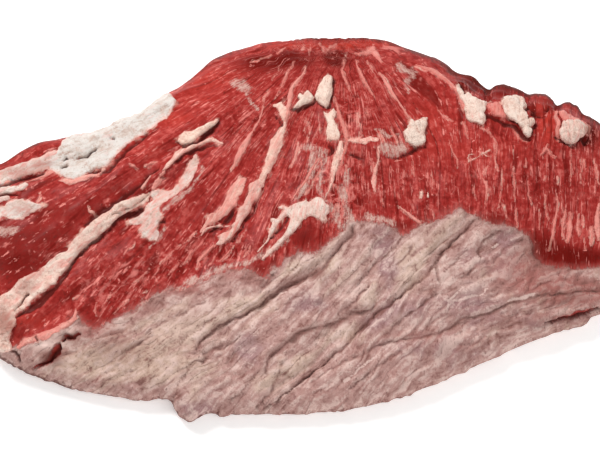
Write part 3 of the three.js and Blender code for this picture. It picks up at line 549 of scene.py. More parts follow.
# The silverskin's colour leans to cream or to mauve in soft patches.
CREAM = [
    (185, 335, 34, 14, 0.35), (86, 366, 50, 16, 0.5), (150, 360, 40, 18, 0.4), (110, 352, 60, 26, 0.5),
    (190, 320, 50, 20, 0.55), (180, 372, 50, 18, 0.5), (435, 235, 26, 18, 0.4), (408, 272, 16, 22, 0.9),
    (370, 296, 8, 12, 0.8), (250, 305, 30, 10, 0.6), (345, 335, 24, 10, 0.7), (330, 262, 14, 10, 0.5),
    (290, 268, 24, 8, 0.5), (590, 285, 26, 14, 0.2), (300, 366, 20, 12, 0.6), (270, 385, 22, 12, 0.5),
]
MAUVE = [
    (505, 238, 18, 10, 0.7), (248, 348, 18, 14, 0.9), (380, 240, 20, 14, 0.7), (306, 304, 24, 10, 0.7),
    (388, 272, 12, 18, 0.8), (500, 262, 30, 18, 0.5), (400, 312, 26, 10, 0.8), (470, 300, 40, 12, 0.5),
    (440, 350, 60, 14, 0.45), (196, 408, 18, 12, 0.6), (500, 320, 40, 10, 0.5), (375, 325, 16, 8, 0.6),
]
# Where the silverskin is thin and the meat's red shows through.
THIN = [
    (520, 275, 46, 16, 0.3), (490, 228, 22, 6, 0.5), (572, 299, 34, 14, 0.4), (420, 336, 40, 6, 0.7),
    (360, 350, 24, 8, 0.3), (130, 340, 40, 8, 0.35), (60, 352, 16, 8, 0.6), (90, 334, 16, 6, 0.4),
    (180, 292, 24, 5, 0.5), (236, 278, 16, 6, 0.4), (330, 395, 40, 8, 0.3), (400, 372, 40, 8, 0.3),
    (520, 250, 12, 10, 0.35), (450, 310, 30, 10, 0.25), (520, 262, 34, 14, 0.7), (580, 290, 50, 20, 0.9),
    (560, 318, 24, 5, 0.6), (345, 225, 10, 8, 0.5), (240, 372, 16, 8, 0.35), (102, 330, 26, 7, 0.7),
    (142, 310, 26, 7, 0.7), (192, 288, 30, 7, 0.7), (238, 273, 20, 7, 0.6), (262, 283, 14, 7, 0.5),
    (530, 285, 40, 16, 0.5),
]

# Painted shade along the outlines, where the back edge turns away from the light, and a painted contact
# shadow along the front edge: (x, strength, width in pixels).
BACK_RIM_SHADE = [
    (-60, 0.9, 2.6), (40, 0.9, 2.6), (66, 0, 2), (160, 0, 2), (195, 0.7, 2.4), (235, 0.6, 2), (262, 0.1, 2),
    (290, 0.2, 2), (310, 1, 2.2), (330, 0.9, 2.2), (344, 0.4, 2), (358, 0.9, 2.2), (400, 0.8, 2.6),
    (450, 1.2, 3.6), (600, 1.2, 3.4), (660, 1, 3),
]
FRONT_RIM_SHADE = [
    (-60, 0.9, 2.4), (60, 0.9, 2.2), (90, 0.6, 1.8), (170, 0.6, 1.8), (192, 0.9, 2.4), (230, 0.7, 2),
    (330, 0.6, 2), (400, 0.5, 1.8), (500, 0.3, 1.8), (600, 0.4, 1.8),
]

# ---------------------------------------------------------------- fields over the mesh

FAR = 40.0  # pixels: beyond this a stroke has no say


def nearest(x, y, line):
    """How far points are from a drawn line, its half width there, and the side: above 0 is upper left."""
    distance = np.full(x.shape, 1e9)
    width = np.zeros(x.shape)
    side = np.ones(x.shape)
    for (ax, ay, aw), (bx, by, bw) in zip(line, line[1:]):
        dx, dy = bx - ax, by - ay
        t = np.clip(((x - ax) * dx + (y - ay) * dy) / (dx * dx + dy * dy), 0, 1)
        away = np.hypot(x - ax - t * dx, y - ay - t * dy)
        closer = away < distance
        distance = np.where(closer, away, distance)
        width = np.where(closer, aw + t * (bw - aw), width)
        side = np.where(closer, np.sign(dx * (y - ay) - dy * (x - ax)), side)
    return distance, width, side


def near(x, y, line):
    """Which points a line can reach."""
    xs = [p[0] for p in line]
    ys = [p[1] for p in line]
    return (x > min(xs) - FAR) & (x < max(xs) + FAR) & (y > min(ys) - FAR) & (y < max(ys) + FAR)


def inside(x, y, strokes):
    """How many pixels deep points lie in a set of strokes. It is negative outside them."""
    depth = np.full(x.shape, -FAR)
    for line in strokes:
        here = near(x, y, line)
        distance, width, _ = nearest(x[here], y[here], line)
        depth[here] = np.maximum(depth[here], width - distance)
    return depth


def ease(t, low, high):
    """0 below low, 1 above high, and smooth between them."""
    t = np.clip((t - low) / (high - low), 0, 1)
    return t * t * (3 - 2 * t)


def patches(x, y, spots):
    total = np.zeros(x.shape)
    for cx, cy, rx, ry, strength in spots:
        total += strength * np.exp(-((x - cx) / rx) ** 2 - ((y - cy) / ry) ** 2)
    return total


LATTICE = np.random.default_rng(11).random((256, 256))


def ripple(x, y, seed):
    """Smooth noise from -1 to 1, with one hill or hollow about every unit."""
    column, row = np.floor(x).astype(int), np.floor(y).astype(int)
    fx, fy = ease(x - column, 0, 1), ease(y - row, 0, 1)

    def corner(i, j):
        return LATTICE[(column + i + 37 * seed) % 256, (row + j + 91 * seed) % 256]

    top = corner(0, 0) * (1 - fx) + corner(1, 0) * fx
    low = corner(0, 1) * (1 - fx) + corner(1, 1) * fx
    return 2 * (top * (1 - fy) + low * fy) - 1


HORIZON_STEP = 5  # pixels


def unrolled(x, y, z, facing):
    """Folds what the view doesn't see out past its outline: the back goes above it, the underside below it.
    Gives y there, how far each point is from the upper and from the lower outline, and how far under it the
    point is hidden."""
    column = np.round(x / HORIZON_STEP).astype(int)
    first = column.min()
    column -= first
    seen = np.flatnonzero(facing > 0)
    rising = seen[np.argsort(y[seen])]
    edges = []
    for order, lean_in in ((rising[::-1], 0.5), (rising, -0.5)):
        last = np.full(column.max() + 1, -1)
        last[column[order]] = order
        known = np.flatnonzero(last >= 0)
        middles = (known + first) * HORIZON_STEP
        edge = y[last[known]]
        edge = edge + lean_in * np.abs(np.gradient(edge))
        edges.append((np.interp(x, middles, edge), np.interp(x, middles, z[last[known]])))
    (top, top_z), (bottom, bottom_z) = edges
    upper = y < 0.5 * (top + bottom)
    folded = np.where(upper, np.minimum(2 * top - y, y), np.maximum(2 * bottom - y, y))
    hidden = np.clip(np.where(upper, top_z, bottom_z) - z, 0, None) * (1 - ease(facing, -0.1, 0.2))
    return np.where(facing > 0, y, folded), y - top, bottom - y, hidden


RIM_FADE = 7  # pixels over which the painted rim shade fades out round the outline


def rim_shade(x, inward, hidden, table):
    """How dark the painted rim shade is. It runs along the outline and fades out round it."""
    places = [p[0] for p in table]
    strength = np.interp(x, places, [p[1] for p in table])
    width = np.interp(x, places, [p[2] for p in table])
    return strength * np.exp(-((np.clip(inward, 0, None) / width + hidden / RIM_FADE) ** 2))


FAN_APEX = (345, 20)  # pixel that the grain of the fan comes from
FAN_REACH = 180  # pixels from it to the line where the grain's place is read
FAN_TANGLE = (325, 48, 75, 20)  # the grain is tangled round this pixel, as far as this across and down
UPRIGHT_FROM, UPRIGHT_TO = 400, 470  # across here the grain turns upright
TRACE_STEPS = 30


def grain_turn(x, y):
    """The angle of the grain from straight down."""
    across, down = x - FAN_APEX[0], np.maximum(y - FAN_APEX[1], 14)
    right = (1 - ease(x, UPRIGHT_FROM, UPRIGHT_TO)) * (1 - 0.75 * ease(y, 110, 190))
    return np.arctan2(across, down) * np.where(across < 0, 1, right)


def grain_place(x, y):
    """Follows the grain to a line of reference. Gives the place across it there and the way along it."""
    px = x + 1.6 * ripple(x / 19, y / 26, 21) + 0.7 * ripple(x / 7, y / 12, 22)
    middle_x, middle_y, reach_x, reach_y = FAN_TANGLE
    mixed = np.exp(-(((x - middle_x) / reach_x) ** 2) - ((y - middle_y) / reach_y) ** 2)
    px += mixed * (14 * ripple(x / 13, y / 6, 26) + 6 * ripple(x / 5, y / 3, 27))
    py = y + mixed * 8 * ripple(x / 11, y / 6, 28)
    along = np.zeros(x.shape)
    for step in range(TRACE_STEPS):
        across, down = px - FAN_APEX[0], py - FAN_APEX[1]
        reach = np.where(across < 0, np.hypot(across, down), down)
        stride = (FAN_REACH - reach) / (TRACE_STEPS - step)
        turn = grain_turn(px, py)
        px += np.sin(turn) * stride
        py += np.cos(turn) * stride
        along -= stride
    across, down = px - FAN_APEX[0], py - FAN_APEX[1]
    place = np.where(across < 0, np.arctan2(across, down) * FAN_REACH, across)
    return place, along


# How steeply the silverskin's fine wrinkles rise to the right: (x, rise for each pixel).
WRINKLE_RISE = [(-60, 0.5), (150, 0.6), (250, 0.8), (380, 1.1), (480, 0.6), (580, 0.2), (660, 0.15)]


def wrinkle_place(x, y):
    """The place across the silverskin's wrinkles."""
    table = np.arange(-80, 700.0)
    rise = np.interp(table, [p[0] for p in WRINKLE_RISE], [p[1] for p in WRINKLE_RISE])
    straight = y + np.interp(x, table, np.cumsum(rise))
    bent = straight + 7 * ripple(x / 44, y / 40, 23) + 3 * ripple(x / 15, y / 15, 24)
    return bent + ripple(x / 6, y / 6, 25)


def skin_depth(x, y):
    """How many pixels a point lies inside the silverskin's border."""
    line = [(px, py, 0) for px, py in SKIN_BORDER]
    distance, _, _ = nearest(x, y, line)
    border = np.interp(x, [p[0] for p in SKIN_BORDER], [p[1] for p in SKIN_BORDER])
    return np.where(y > border, distance, -distance)


# ---------------------------------------------------------------- the mesh

MERGE = 1e-6
SPLITS = 2  # each round splits a quad in four
FOOT_GRID = 0.006
FLAT_BELOW = 0.0015  # metres over the floor where the relief has faded out
FULL_ABOVE = 0.006


def fine_copy(node, name):
    """A copy of a CAD node in quads, split fine, with its flat underside cut in a coarse grid."""
    bm = bmesh.new()
    bm.from_mesh(node.data)
    bmesh.ops.remove_doubles(bm, verts=bm.verts[:], dist=MERGE)
    underside = [f for f in bm.faces if all(v.co.z < MERGE for v in f.verts)]
    bmesh.ops.delete(bm, geom=underside, context="FACES")
    bmesh.ops.join_triangles(
        bm, faces=bm.faces[:], angle_face_threshold=math.pi, angle_shape_threshold=math.pi)
    rough = bpy.data.meshes.new(name)
    bm.to_mesh(rough)
    bm.free()
    piece = bpy.data.objects.new(name, rough)
    bpy.context.scene.collection.objects.link(piece)
    split = piece.modifiers.new("split", "SUBSURF")
    split.levels = split.render_levels = SPLITS
    graph = bpy.context.evaluated_depsgraph_get()
    fine = bpy.data.meshes.new_from_object(piece.evaluated_get(graph))
    piece.modifiers.clear()
    piece.data = fine
    fine.name = name
    bpy.data.meshes.remove(rough)
    bm = bmesh.new()
    bm.from_mesh(fine)
    rim = [e for e in bm.edges if e.is_boundary]
    foot = bmesh.ops.holes_fill(bm, edges=rim, sides=0)["faces"]
    cut_grid(bm, foot)
    bmesh.ops.recalc_face_normals(bm, faces=bm.faces[:])
    bm.to_mesh(fine)
    bm.free()
    fine.shade_smooth()
    return piece


def cut_grid(bm, faces):
    """Cuts flat faces along lines FOOT_GRID apart, both ways."""
    geometry = faces + list({e for f in faces for e in f.edges}) + list({v for f in faces for v in f.verts})
    (x0, y0, _), (x1, y1, _) = cad_box
    for normal, low, high in (((1, 0, 0), x0, x1), ((0, 1, 0), y0, y1)):
        for place in np.arange(low + FOOT_GRID, high, FOOT_GRID):
            point = Vector(normal) * place
            cut = bmesh.ops.bisect_plane(bm, geom=geometry, dist=MERGE, plane_co=point, plane_no=normal)
            geometry = cut["geom"]


def vertex_array(mesh, name):
    values = np.zeros(len(mesh.vertices) * 3, np.float32)
    mesh.vertices.foreach_get(name, values)
    return values.reshape(-1, 3).astype(float)


def set_values(mesh, **named):
    """Keeps a number for each vertex under each name. The finishes read them."""
    for name, values in named.items():
        mesh.attributes.new(name, "FLOAT", "POINT").data.foreach_set("value", values.astype(np.float32))


def set_place(mesh, name, *places):
    """Keeps three places as one vector attribute, in mm."""
    together = (np.stack(places, 1) * PIXEL_MM).astype(np.float32)
    mesh.attributes.new(name, "FLOAT_VECTOR", "POINT").data.foreach_set("vector", together.ravel())


SLAB_FADE = 4  # pixels over which a slab's margin fades into the meat


def fat_relief(x, y, slant, streaks, crumbs, bare):
    """The ragged margin that the fat fades into the meat with: its height in mm, where it is (above 0), how
    creamy it is, and the shadow at the foot of the slabs."""
    height = np.zeros(x.shape)
    cover = np.full(x.shape, -4.0)
    cream = np.zeros(x.shape)
    weight = np.full(x.shape, 1e-6)
    foot = np.full(x.shape, -FAR)

    def spread(here, deep, width, rise, white):
        torn = deep + 0.5 * streaks[here] + 0.25 * crumbs[here] - 0.15
        cover[here] = np.maximum(cover[here], torn)
        dome = np.sqrt(np.clip(torn + 0.1, 0, 1)) * (0.75 + 0.35 * crumbs[here])
        height[here] = np.maximum(height[here], 0.5 * rise * ease(width, 0, 5) ** 0.5 * dome)
        share = np.exp(4 * np.clip(deep, -2, 1))
        cream[here] += share * white * 0.5
        weight[here] += share

    for white, rise, line in FAT:
        here = near(x, y, line)
        distance, width, _ = nearest(x[here], y[here], line)
        spread(here, 1 - distance / (1.15 * width + 0.6), width, rise, white)
    for slab in SLABS.values():
        here = near(x, y, slab["outline"])
        depth = draped(slab_shape, x[here], y[here], slant[here], slab)[0]
        spread(here, (depth + 1.2) / SLAB_FADE, SLAB_FADE, slab["rise"], slab["cream"])
        if slab["foot"] > 0:
            lower = outline_depth(x[here] - 1.1, y[here] - 1.3, slab["outline"])
            shadow = np.minimum(lower + 0.3, 0.3 - depth) - 2 * (1 - slab["foot"])
            foot[here] = np.maximum(foot[here], shadow)
    hole = ease(-bare, -1.5, 1)
    cover = np.where(hole < 1, np.minimum(cover, -bare / 4), cover)
    return height * hole, cover, cream / weight, foot


def film_cover(x, y, streaks):
    """Where the thin film is: above 0."""
    cover = np.full(x.shape, -4.0)
    for line in FILM:
        here = near(x, y, line)
        distance, width, _ = nearest(x[here], y[here], line)
        cover[here] = np.maximum(cover[here], 1 - distance / np.maximum(width, 2))
    return cover + 0.6 * streaks


def crease_relief(x, y, inside_skin):
    """The relief of the creases in mm, how dark the painted shade along them is, and the place across the
    nearest in pixels.
    """
    height = np.zeros(x.shape)
    dark = np.zeros(x.shape)
    across = np.full(x.shape, FAR)
    for depth, stroke in CREASES:
        here = near(x, y, stroke)
        distance, width, side = nearest(x[here], y[here], stroke)
        notch = np.exp(-(distance / np.maximum(1.15 * width, 1.4)) ** 2)
        shoulder = np.exp(-((distance * side - 3 * width) / (2.2 * width)) ** 2)
        height[here] += 0.85 * depth * (0.6 * shoulder - notch)
        line = np.exp(-((distance * side + 0.3 * width) / (1.3 * width)) ** 2)
        dark[here] = np.maximum(dark[here], line * min(1, 0.45 + 0.4 * depth))
        across[here] = np.where(distance < np.abs(across[here]), distance * side, across[here])
    fade = ease(inside_skin, -6, 0)
    return height * fade, dark * fade, across


def carve(piece):
    """Raises the fat, cuts the furrows, folds the silverskin and writes what the finish reads."""
    mesh = piece.data
    points = vertex_array(mesh, "co")
    normals = vertex_array(mesh, "normal")
    sight = np.array(EYE) - points
    sight /= np.linalg.norm(sight, axis=1)[:, None]
    facing = (sight * normals).sum(1)
    x, y = view_pixels(points)
    y, under_back, over_front, slant = unrolled(x, y, points[:, 2] * 1000 / PIXEL_MM, facing)
    place, along = grain_place(x, y)
    wrinkle = wrinkle_place(x, y)
    bend_x = x + 1.5 * ripple(x / 6, y / 6, 31) + 0.7 * ripple(x / 3, y / 3, 33)
    bend_y = y + 1.5 * ripple(x / 6, y / 6, 32) + 0.7 * ripple(x / 3, y / 3, 34)
    skin = skin_depth(x, y) + 2.5 * ripple(x / 9, y / 7, 35) + 1.5 * ripple(x / 4, y / 4, 36)
    streaks = 0.5 * ripple(place / 3.6, along / 17, 37) + 0.4 * ripple(place / 7, along / 34, 38)
    crumbs = 0.5 * ripple(x / 4, y / 4, 39) + 0.5 * ripple(x / 7, y / 7, 40)
    bare = inside(bend_x, bend_y, BARE)
    skin = np.minimum(skin, -2 * bare)
    film = film_cover(bend_x, bend_y, streaks)
    gap = inside(bend_x, bend_y, GAPS)
    fat_height, fat, cream, foot = fat_relief(bend_x, bend_y, slant, streaks, crumbs, bare)
    # The painted shadow at the foot of the slabs joins the gaps and the painted shadows beside the seams.
    gap = np.maximum(gap, foot)
    crease_height, crease, across_crease = crease_relief(bend_x, bend_y, skin)
    ridge_height = np.zeros(x.shape)
    pale = np.zeros(x.shape)
    for rise, stroke in RIDGES:
        distance, width, _ = nearest(bend_x, bend_y, stroke)
        hill = np.exp(-(distance / np.maximum(width, 1)) ** 2)
        ridge_height += rise * hill
        pale = np.maximum(pale, hill)
    on_skin = ease(skin, -1, 2)
    on_fat = ease(fat, -0.2, 0.2)
    lean = (1 - on_skin) * (1 - on_fat)

    bundles = 0.34 * ripple(place / 5.2 + slant / 9, along / 40, 1)
    bundles += 0.42 * ripple(place / 11, along / 80 + slant / 13, 2)
    fibres = 0.24 * ripple(place / 2.6 + slant / 5, along / 20, 3)
    lumps = 0.4 * ripple(x / 5, y / 5 + slant / 5, 4) + 0.35 * ripple(x / 2.6, y / 2.6 + slant / 3, 5)
    fold = ripple(wrinkle / 8 + slant / 9, x / 34, 6)
    pucker = ripple(wrinkle / 4.2, x / 17 + slant / 9, 7)
    bands = ease(x, 460, 520) * ripple(x / 7, y / 30 + slant / 9, 10)
    crumple = ripple(x / 11 + wrinkle / 16, y / 10 + slant / 9, 11)
    wrinkles = 0.5 * np.abs(fold) + 0.3 * np.abs(pucker) + 0.15 * ripple(wrinkle / 2.4, x / 8 + slant / 5, 9)
    wrinkles += 1.3 * np.abs(crumple) + 0.3 * bands
    swells = 0.5 * ripple(x / 26, y / 20 + slant / 20, 8)

    height = swells - 0.7 + lean * (bundles + fibres) + on_fat * lumps + fat_height
    height += on_skin * (0.7 + wrinkles + ridge_height) + crease_height * on_skin
    height -= 1.7 * ease(gap, -2, 1)
    height += patches(x, y, LOBES)
    fade = ease(points[:, 2], FLAT_BELOW, FULL_ABOVE)
    moved = points + normals * (height * fade / 1000)[:, None]
    mesh.vertices.foreach_set("co", moved.astype(np.float32).ravel())

    set_place(mesh, "drawn", x, y, slant)
    set_place(mesh, "grain", place, along, slant)
    set_place(mesh, "wrinkle", wrinkle, x, slant)
    set_place(mesh, "folds", across_crease, fold / PIXEL_MM, pucker / PIXEL_MM)
    # Painted shade: the sides that turn away from the view grow darker down from the outline, added to the
    # darker patches.
    shade = 0.6 + 0.5 * ripple(x / 30, slant / 10, 12) + 0.3 * ripple(x / 9, slant / 6, 13)
    set_values(
        mesh, facing=facing, fat=fat, cream=cream, film=film, skin=skin, gap=gap, crease=crease, pale=pale,
        thread=inside(bend_x, bend_y, THREADS), deep=patches(x, y, DARKER_AND_SHADED) + ease(slant, 0, 12) * shade,
        bright=patches(x, y, LIGHTER_AND_LIT), flecks=patches(x, y, FLECKS), mauve=patches(x, y, MAUVE),
        creamy=patches(x, y, CREAM) + 0.6 * bands, thin=patches(x, y, THIN),
        rim=rim_shade(x, under_back, slant, BACK_RIM_SHADE) + rim_shade(x, over_front, slant, FRONT_RIM_SHADE))
    mesh.update()


def read_attribute(mesh, name, part, columns):
    values = np.zeros(len(mesh.vertices) * columns, np.float32)
    mesh.attributes[name].data.foreach_get(part, values)
    return values.reshape(-1, columns).astype(float)


def outline_depth(x, y, outline):
    """How many pixels deep points lie inside a closed outline. It is negative outside."""
    closed = outline + outline[:1]
    distance, _, _ = nearest(x, y, [(px, py, 0) for px, py in closed])
    within = np.zeros(x.shape, bool)
    for (ax, ay), (bx, by) in zip(closed, closed[1:]):
        slope = (bx - ax) / (by - ay) if by != ay else 0
        within ^= ((ay > y) != (by > y)) & (x < ax + (y - ay) * slope)
    return np.where(within, distance, -distance)


SLAB_CUTS = 2
SLAB_SMOOTHING = 4
SLAB_MARGIN = 2.5  # pixels round a slab that are split finer with it
THREAD_WASTE = 0.25  # pixels that the edges of the thinnest threads lose
SLAB_ROOT = 0.0012  # metres that a slab goes down into the meat
SLAB_EDGE = 2.4  # pixels over which a slab's edge rounds up
SLAB_LOWEST = 0.004  # metres over the floor
SLAB_HANG = 1.5  # how soon a slab ends down the back: pixels of its drawing for each one down
SLAB_TAPER = 0.4  # and how many pixels it draws in for each
SLAB_WRAPS = 0.05  # how far a slab follows the meat round an edge: the least cosine of slope to the view


def trimmed(mesh, outside):
    """A bmesh of a mesh without some of its vertices."""
    bm = bmesh.new()
    bm.from_mesh(mesh)
    gone = [v for v, away in zip(bm.verts, outside) if away]
    bmesh.ops.delete(bm, geom=gone, context="VERTS")
    loose = [v for v in bm.verts if not v.link_faces]
    bmesh.ops.delete(bm, geom=loose, context="VERTS")
    return bm


def smooth(bm, verts, rounds):
    for _ in range(rounds):
        bmesh.ops.smooth_vert(
            bm, verts=verts, factor=0.5, use_axis_x=True, use_axis_y=True, use_axis_z=True)


def slab_shape(x, y, slab):
    """A slab at drawn points: how many pixels deep they lie in it, its edge, rise, cream, grey and tear."""
    depth = outline_depth(x, y, slab["outline"])
    same = np.ones(x.shape)
    rise, cream, grey, tear = [slab[name] * same for name in ("rise", "cream", "grey", "torn")]
    return depth, SLAB_EDGE * same, rise, cream, grey, tear


def stroke_shape(x, y, strokes):
    """The same for a set of strokes."""
    depth = np.full(x.shape, -FAR)
    half, rise, cream = np.ones(x.shape), np.zeros(x.shape), np.zeros(x.shape)
    for white, height, line in strokes:
        here = near(x, y, line)
        distance, width, _ = nearest(x[here], y[here], line)
        deeper = width - distance > depth[here]
        index = np.flatnonzero(here)[deeper]
        depth[index] = (width - distance)[deeper]
        half[index] = width[deeper]
        rise[index] = height
        cream[index] = white
    depth -= THREAD_WASTE * ease(half, 2.4, 1)
    return depth, 0.8 * half + 0.3, rise, cream, np.zeros(x.shape), 0.3 * half + 0.4


def draped(shape, x, y, slant, drawing):
    """A slab or a set of strokes at points, where it ends soon down the back."""
    depth, *rest = shape(x, y - SLAB_HANG * slant, drawing)
    return depth - SLAB_TAPER * slant, *rest


def lay_slab(flap, name, shape, drawing, finish, wraps=SLAB_WRAPS):
    """Lifts fat off the carved meat: the faces under a drawn shape, split finer, raised and given a root."""
    x, y, slant = read_attribute(flap.data, "drawn", "vector", 3).T / PIXEL_MM
    facing = read_attribute(flap.data, "facing", "value", 1)[:, 0]
    outside = (draped(shape, x, y, slant, drawing)[0] < -SLAB_MARGIN) | (facing < wraps)
    bm = trimmed(flap.data, outside | (vertex_array(flap.data, "co")[:, 2] < SLAB_LOWEST))
    bmesh.ops.subdivide_edges(bm, edges=bm.edges[:], cuts=SLAB_CUTS, use_grid_fill=True)
    smooth(bm, [v for v in bm.verts if not v.is_boundary], SLAB_SMOOTHING)
    mesh = bpy.data.meshes.new(name)
    bm.to_mesh(mesh)
    bm.free()

    x, y, slant = read_attribute(mesh, "drawn", "vector", 3).T / PIXEL_MM
    place, along, _ = read_attribute(mesh, "grain", "vector", 3).T / PIXEL_MM
    depth, edge, rise, cream, grey, tear = draped(shape, x, y, slant, drawing)
    torn = 0.4 * ripple(x / 3.1, y / 3.1, 51) + 0.35 * ripple(place / 1.5, along / 6, 52)
    torn += 0.35 * ripple(place / 3, along / 13, 57)
    depth += tear * torn * (1 + slant / 9)
    lobes = ripple(x / 6.5, y / 6.5 + slant / 6, 53)
    crumbs = 0.6 * ripple(x / 2.7, y / 2.7 + slant / 3, 54) + 0.4 * ripple(x / 1.5, y / 1.5 + slant / 2, 55)
    strands = 0.6 * ripple(place / 2.2, along / 14 + slant / 5, 56)
    strands += 0.4 * ripple(place / 1.2, along / 9 + slant / 5, 58)
    paper = 1 - np.abs(ripple(x / 6.5 + 0.6 * lobes, y / 6.5 + slant / 5, 59))
    gap = inside(x, y, GAPS)
    uneven = 0.9 + 0.25 * lobes + 0.1 * crumbs + 0.28 * strands - 0.3 * paper ** 4
    height = rise * np.clip(depth / edge, 0, 1) ** 0.6 * uneven - 0.9 * ease(gap, -1.6, 0.8)
    points, normals = vertex_array(mesh, "co"), vertex_array(mesh, "normal")
    lifted = (points + normals * (height / 1000)[:, None]).astype(np.float32)
    mesh.attributes.new("lifted", "FLOAT_VECTOR", "POINT").data.foreach_set("vector", lifted.ravel())
    mesh.vertices.foreach_set("co", (points - normals * SLAB_ROOT).astype(np.float32).ravel())
    set_values(mesh, depth=depth, grey=grey)
    mesh.attributes["cream"].data.foreach_set("value", cream.astype(np.float32))

    bm = trimmed(mesh, depth < 0)
    grown = bmesh.ops.extrude_face_region(bm, geom=bm.faces[:], use_keep_orig=True)["geom"]
    top = bm.verts.layers.float_vector["lifted"]
    crown = [v for v in grown if isinstance(v, bmesh.types.BMVert)]
    for vert in crown:
        vert.co = vert[top]
    smooth(bm, [v for v in crown if v[bm.verts.layers.float["depth"]] < 1], 1)
    bmesh.ops.recalc_face_normals(bm, faces=bm.faces[:])
    bm.to_mesh(mesh)
    bm.free()
    mesh.attributes.remove(mesh.attributes["lifted"])
    mesh.shade_smooth()
    mesh.materials.clear()
    mesh.materials.append(finish)
    piece = bpy.data.objects.new(name, mesh)
    bpy.context.scene.collection.objects.link(piece)
    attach(piece, "root")


# ---------------------------------------------------------------- finishes


def colour(red, green, blue):
    """A screen colour, 0 to 255 each, as the linear colour that a shader takes."""
    screen = [c / 255 for c in (red, green, blue)]
    return tuple(c / 12.92 if c < 0.04045 else ((c + 0.055) / 1.055) ** 2.4 for c in screen) + (1,)


class Wire:
    """A node's output socket. Arithmetic on it adds Math nodes."""

    def __init__(self, tree, socket):
        self.tree = tree
        self.socket = socket

    def math(self, operation, *values):
        return add_node(self.tree, "ShaderNodeMath", dict(operation=operation), dict(enumerate(values)))

    def __add__(self, other):
        return self.math("ADD", self, other)

    def __sub__(self, other):
        return self.math("SUBTRACT", self, other)

    def __rsub__(self, other):
        return self.math("SUBTRACT", other, self)

    def __mul__(self, other):
        return self.math("MULTIPLY", self, other)

    def __abs__(self):
        return self.math("ABSOLUTE", self)

    __radd__ = __add__
    __rmul__ = __mul__

    def step(self, low, high):
        """0 below low, 1 above high, and smooth between them."""
        sockets = {"Value": self, "From Min": low, "From Max": high}
        return add_node(self.tree, "ShaderNodeMapRange", dict(interpolation_type="SMOOTHSTEP"), sockets)

    def either(self, other):
        return self.math("MAXIMUM", self, other)


def add_node(tree, kind, settings, sockets, output=0):
    """Adds a node: its settings first, then a value or link for each socket. Gives one output as a Wire."""
    node = tree.nodes.new(kind)
    for name, value in settings.items():
        setattr(node, name, value)
    for name, value in sockets.items():
        if isinstance(value, Wire):
            tree.links.new(value.socket, node.inputs[name])
        else:
            node.inputs[name].default_value = value
    return Wire(tree, node.outputs[output]) if output is not None else None


class Finish:
    """A material in the making."""

    def __init__(self, name):
        self.material = bpy.data.materials.new(name)
        self.material.use_nodes = True
        self.tree = self.material.node_tree
        self.tree.nodes.clear()

    def node(self, kind, settings, sockets, output=0):
        return add_node(self.tree, kind, settings, sockets, output)

    def value(self, name):
        return self.node("ShaderNodeAttribute", dict(attribute_name=name), {}, "Fac")

    def vector(self, name):
        return self.node("ShaderNodeAttribute", dict(attribute_name=name), {}, "Vector")

    def part(self, vector, index):
        return self.node("ShaderNodeSeparateXYZ", {}, {"Vector": vector}, index)

    def place(self):
        return self.node("ShaderNodeTexCoord", {}, {}, "Object")

    def noise(self, vector, scale, offset=0, detail=2, rough=0.5, bend=0):
        """Noise that is read at a vector times a scale, one number or one for each axis, from an offset."""
        scales = scale if isinstance(scale, tuple) else (scale,) * 3
        sockets = {0: vector, 1: scales, 2: (offset,) * 3}
        read = self.node("ShaderNodeVectorMath", dict(operation="MULTIPLY_ADD"), sockets)
        sockets = {"Vector": read, "Scale": 1, "Detail": detail, "Roughness": rough, "Distortion": bend}
        return self.node("ShaderNodeTexNoise", {}, sockets)

    def mix(self, factor, first, second):
        """A colour between two colours."""
        return self.node("ShaderNodeMix", dict(data_type="RGBA"), {0: factor, 6: first, 7: second}, 2)

    def paint(self, base, *layers):
        """Lays colours over a base, one after the other: each has a factor and a colour."""
        for factor, layer in layers:
            base = self.mix(factor, base, layer)
        return base

    def bump(self, height):
        return self.node("ShaderNodeBump", {}, {"Strength": 0.8, "Distance": 0.0009, "Height": height})

    def surface(self, **sockets):
        named = {name.replace("_", " "): value for name, value in sockets.items()}
        shader = self.node("ShaderNodeBsdfPrincipled", {}, named)
        self.node("ShaderNodeOutputMaterial", {}, {"Surface": shader}, None)
        return self.material


LEAN_DARK = colour(130, 32, 28)
LEAN = colour(157, 46, 42)
LEAN_LIGHT = colour(195, 87, 80)
LEAN_DEEP = colour(106, 18, 13)
LEAN_BRIGHT = colour(198, 62, 50)
FLECK = colour(236, 142, 132)
FAT_RED = colour(210, 108, 98)
FAT_PINK = colour(228, 148, 136)
FAT_CREAM = colour(234, 190, 172)
FAT_WHITE = colour(246, 217, 199)
FAT_SHADE = colour(158, 100, 86)
FAT_GREY = colour(221, 213, 206)
FAT_GREY_DARK = colour(203, 183, 171)
FAT_RIM = colour(240, 182, 168)
FILM_DARK = colour(190, 138, 128)
FILM_GREY = colour(216, 184, 171)
SKIN = colour(183, 143, 135)
SKIN_CREAM = colour(201, 171, 154)
SKIN_MAUVE = colour(160, 122, 122)
# Pale silverskin, also used for painted light on lips and ridges; dark silverskin, also used for painted
# shade; and the painted shade in the creases.
SKIN_PALE_AND_LIT = colour(224, 194, 184)
SKIN_DARK_AND_SHADE = colour(128, 84, 76)
SKIN_CREASE_SHADE = colour(100, 66, 58)
SKIN_RED = colour(158, 95, 88)
# Dark brown for the gaps and for the painted shadows beside seams and lumps.
GAP_AND_SHADOW_BROWN = colour(66, 20, 16)
# Dark brown for the painted shade along the outlines.
RIM_SHADE_BROWN = colour(84, 38, 32)


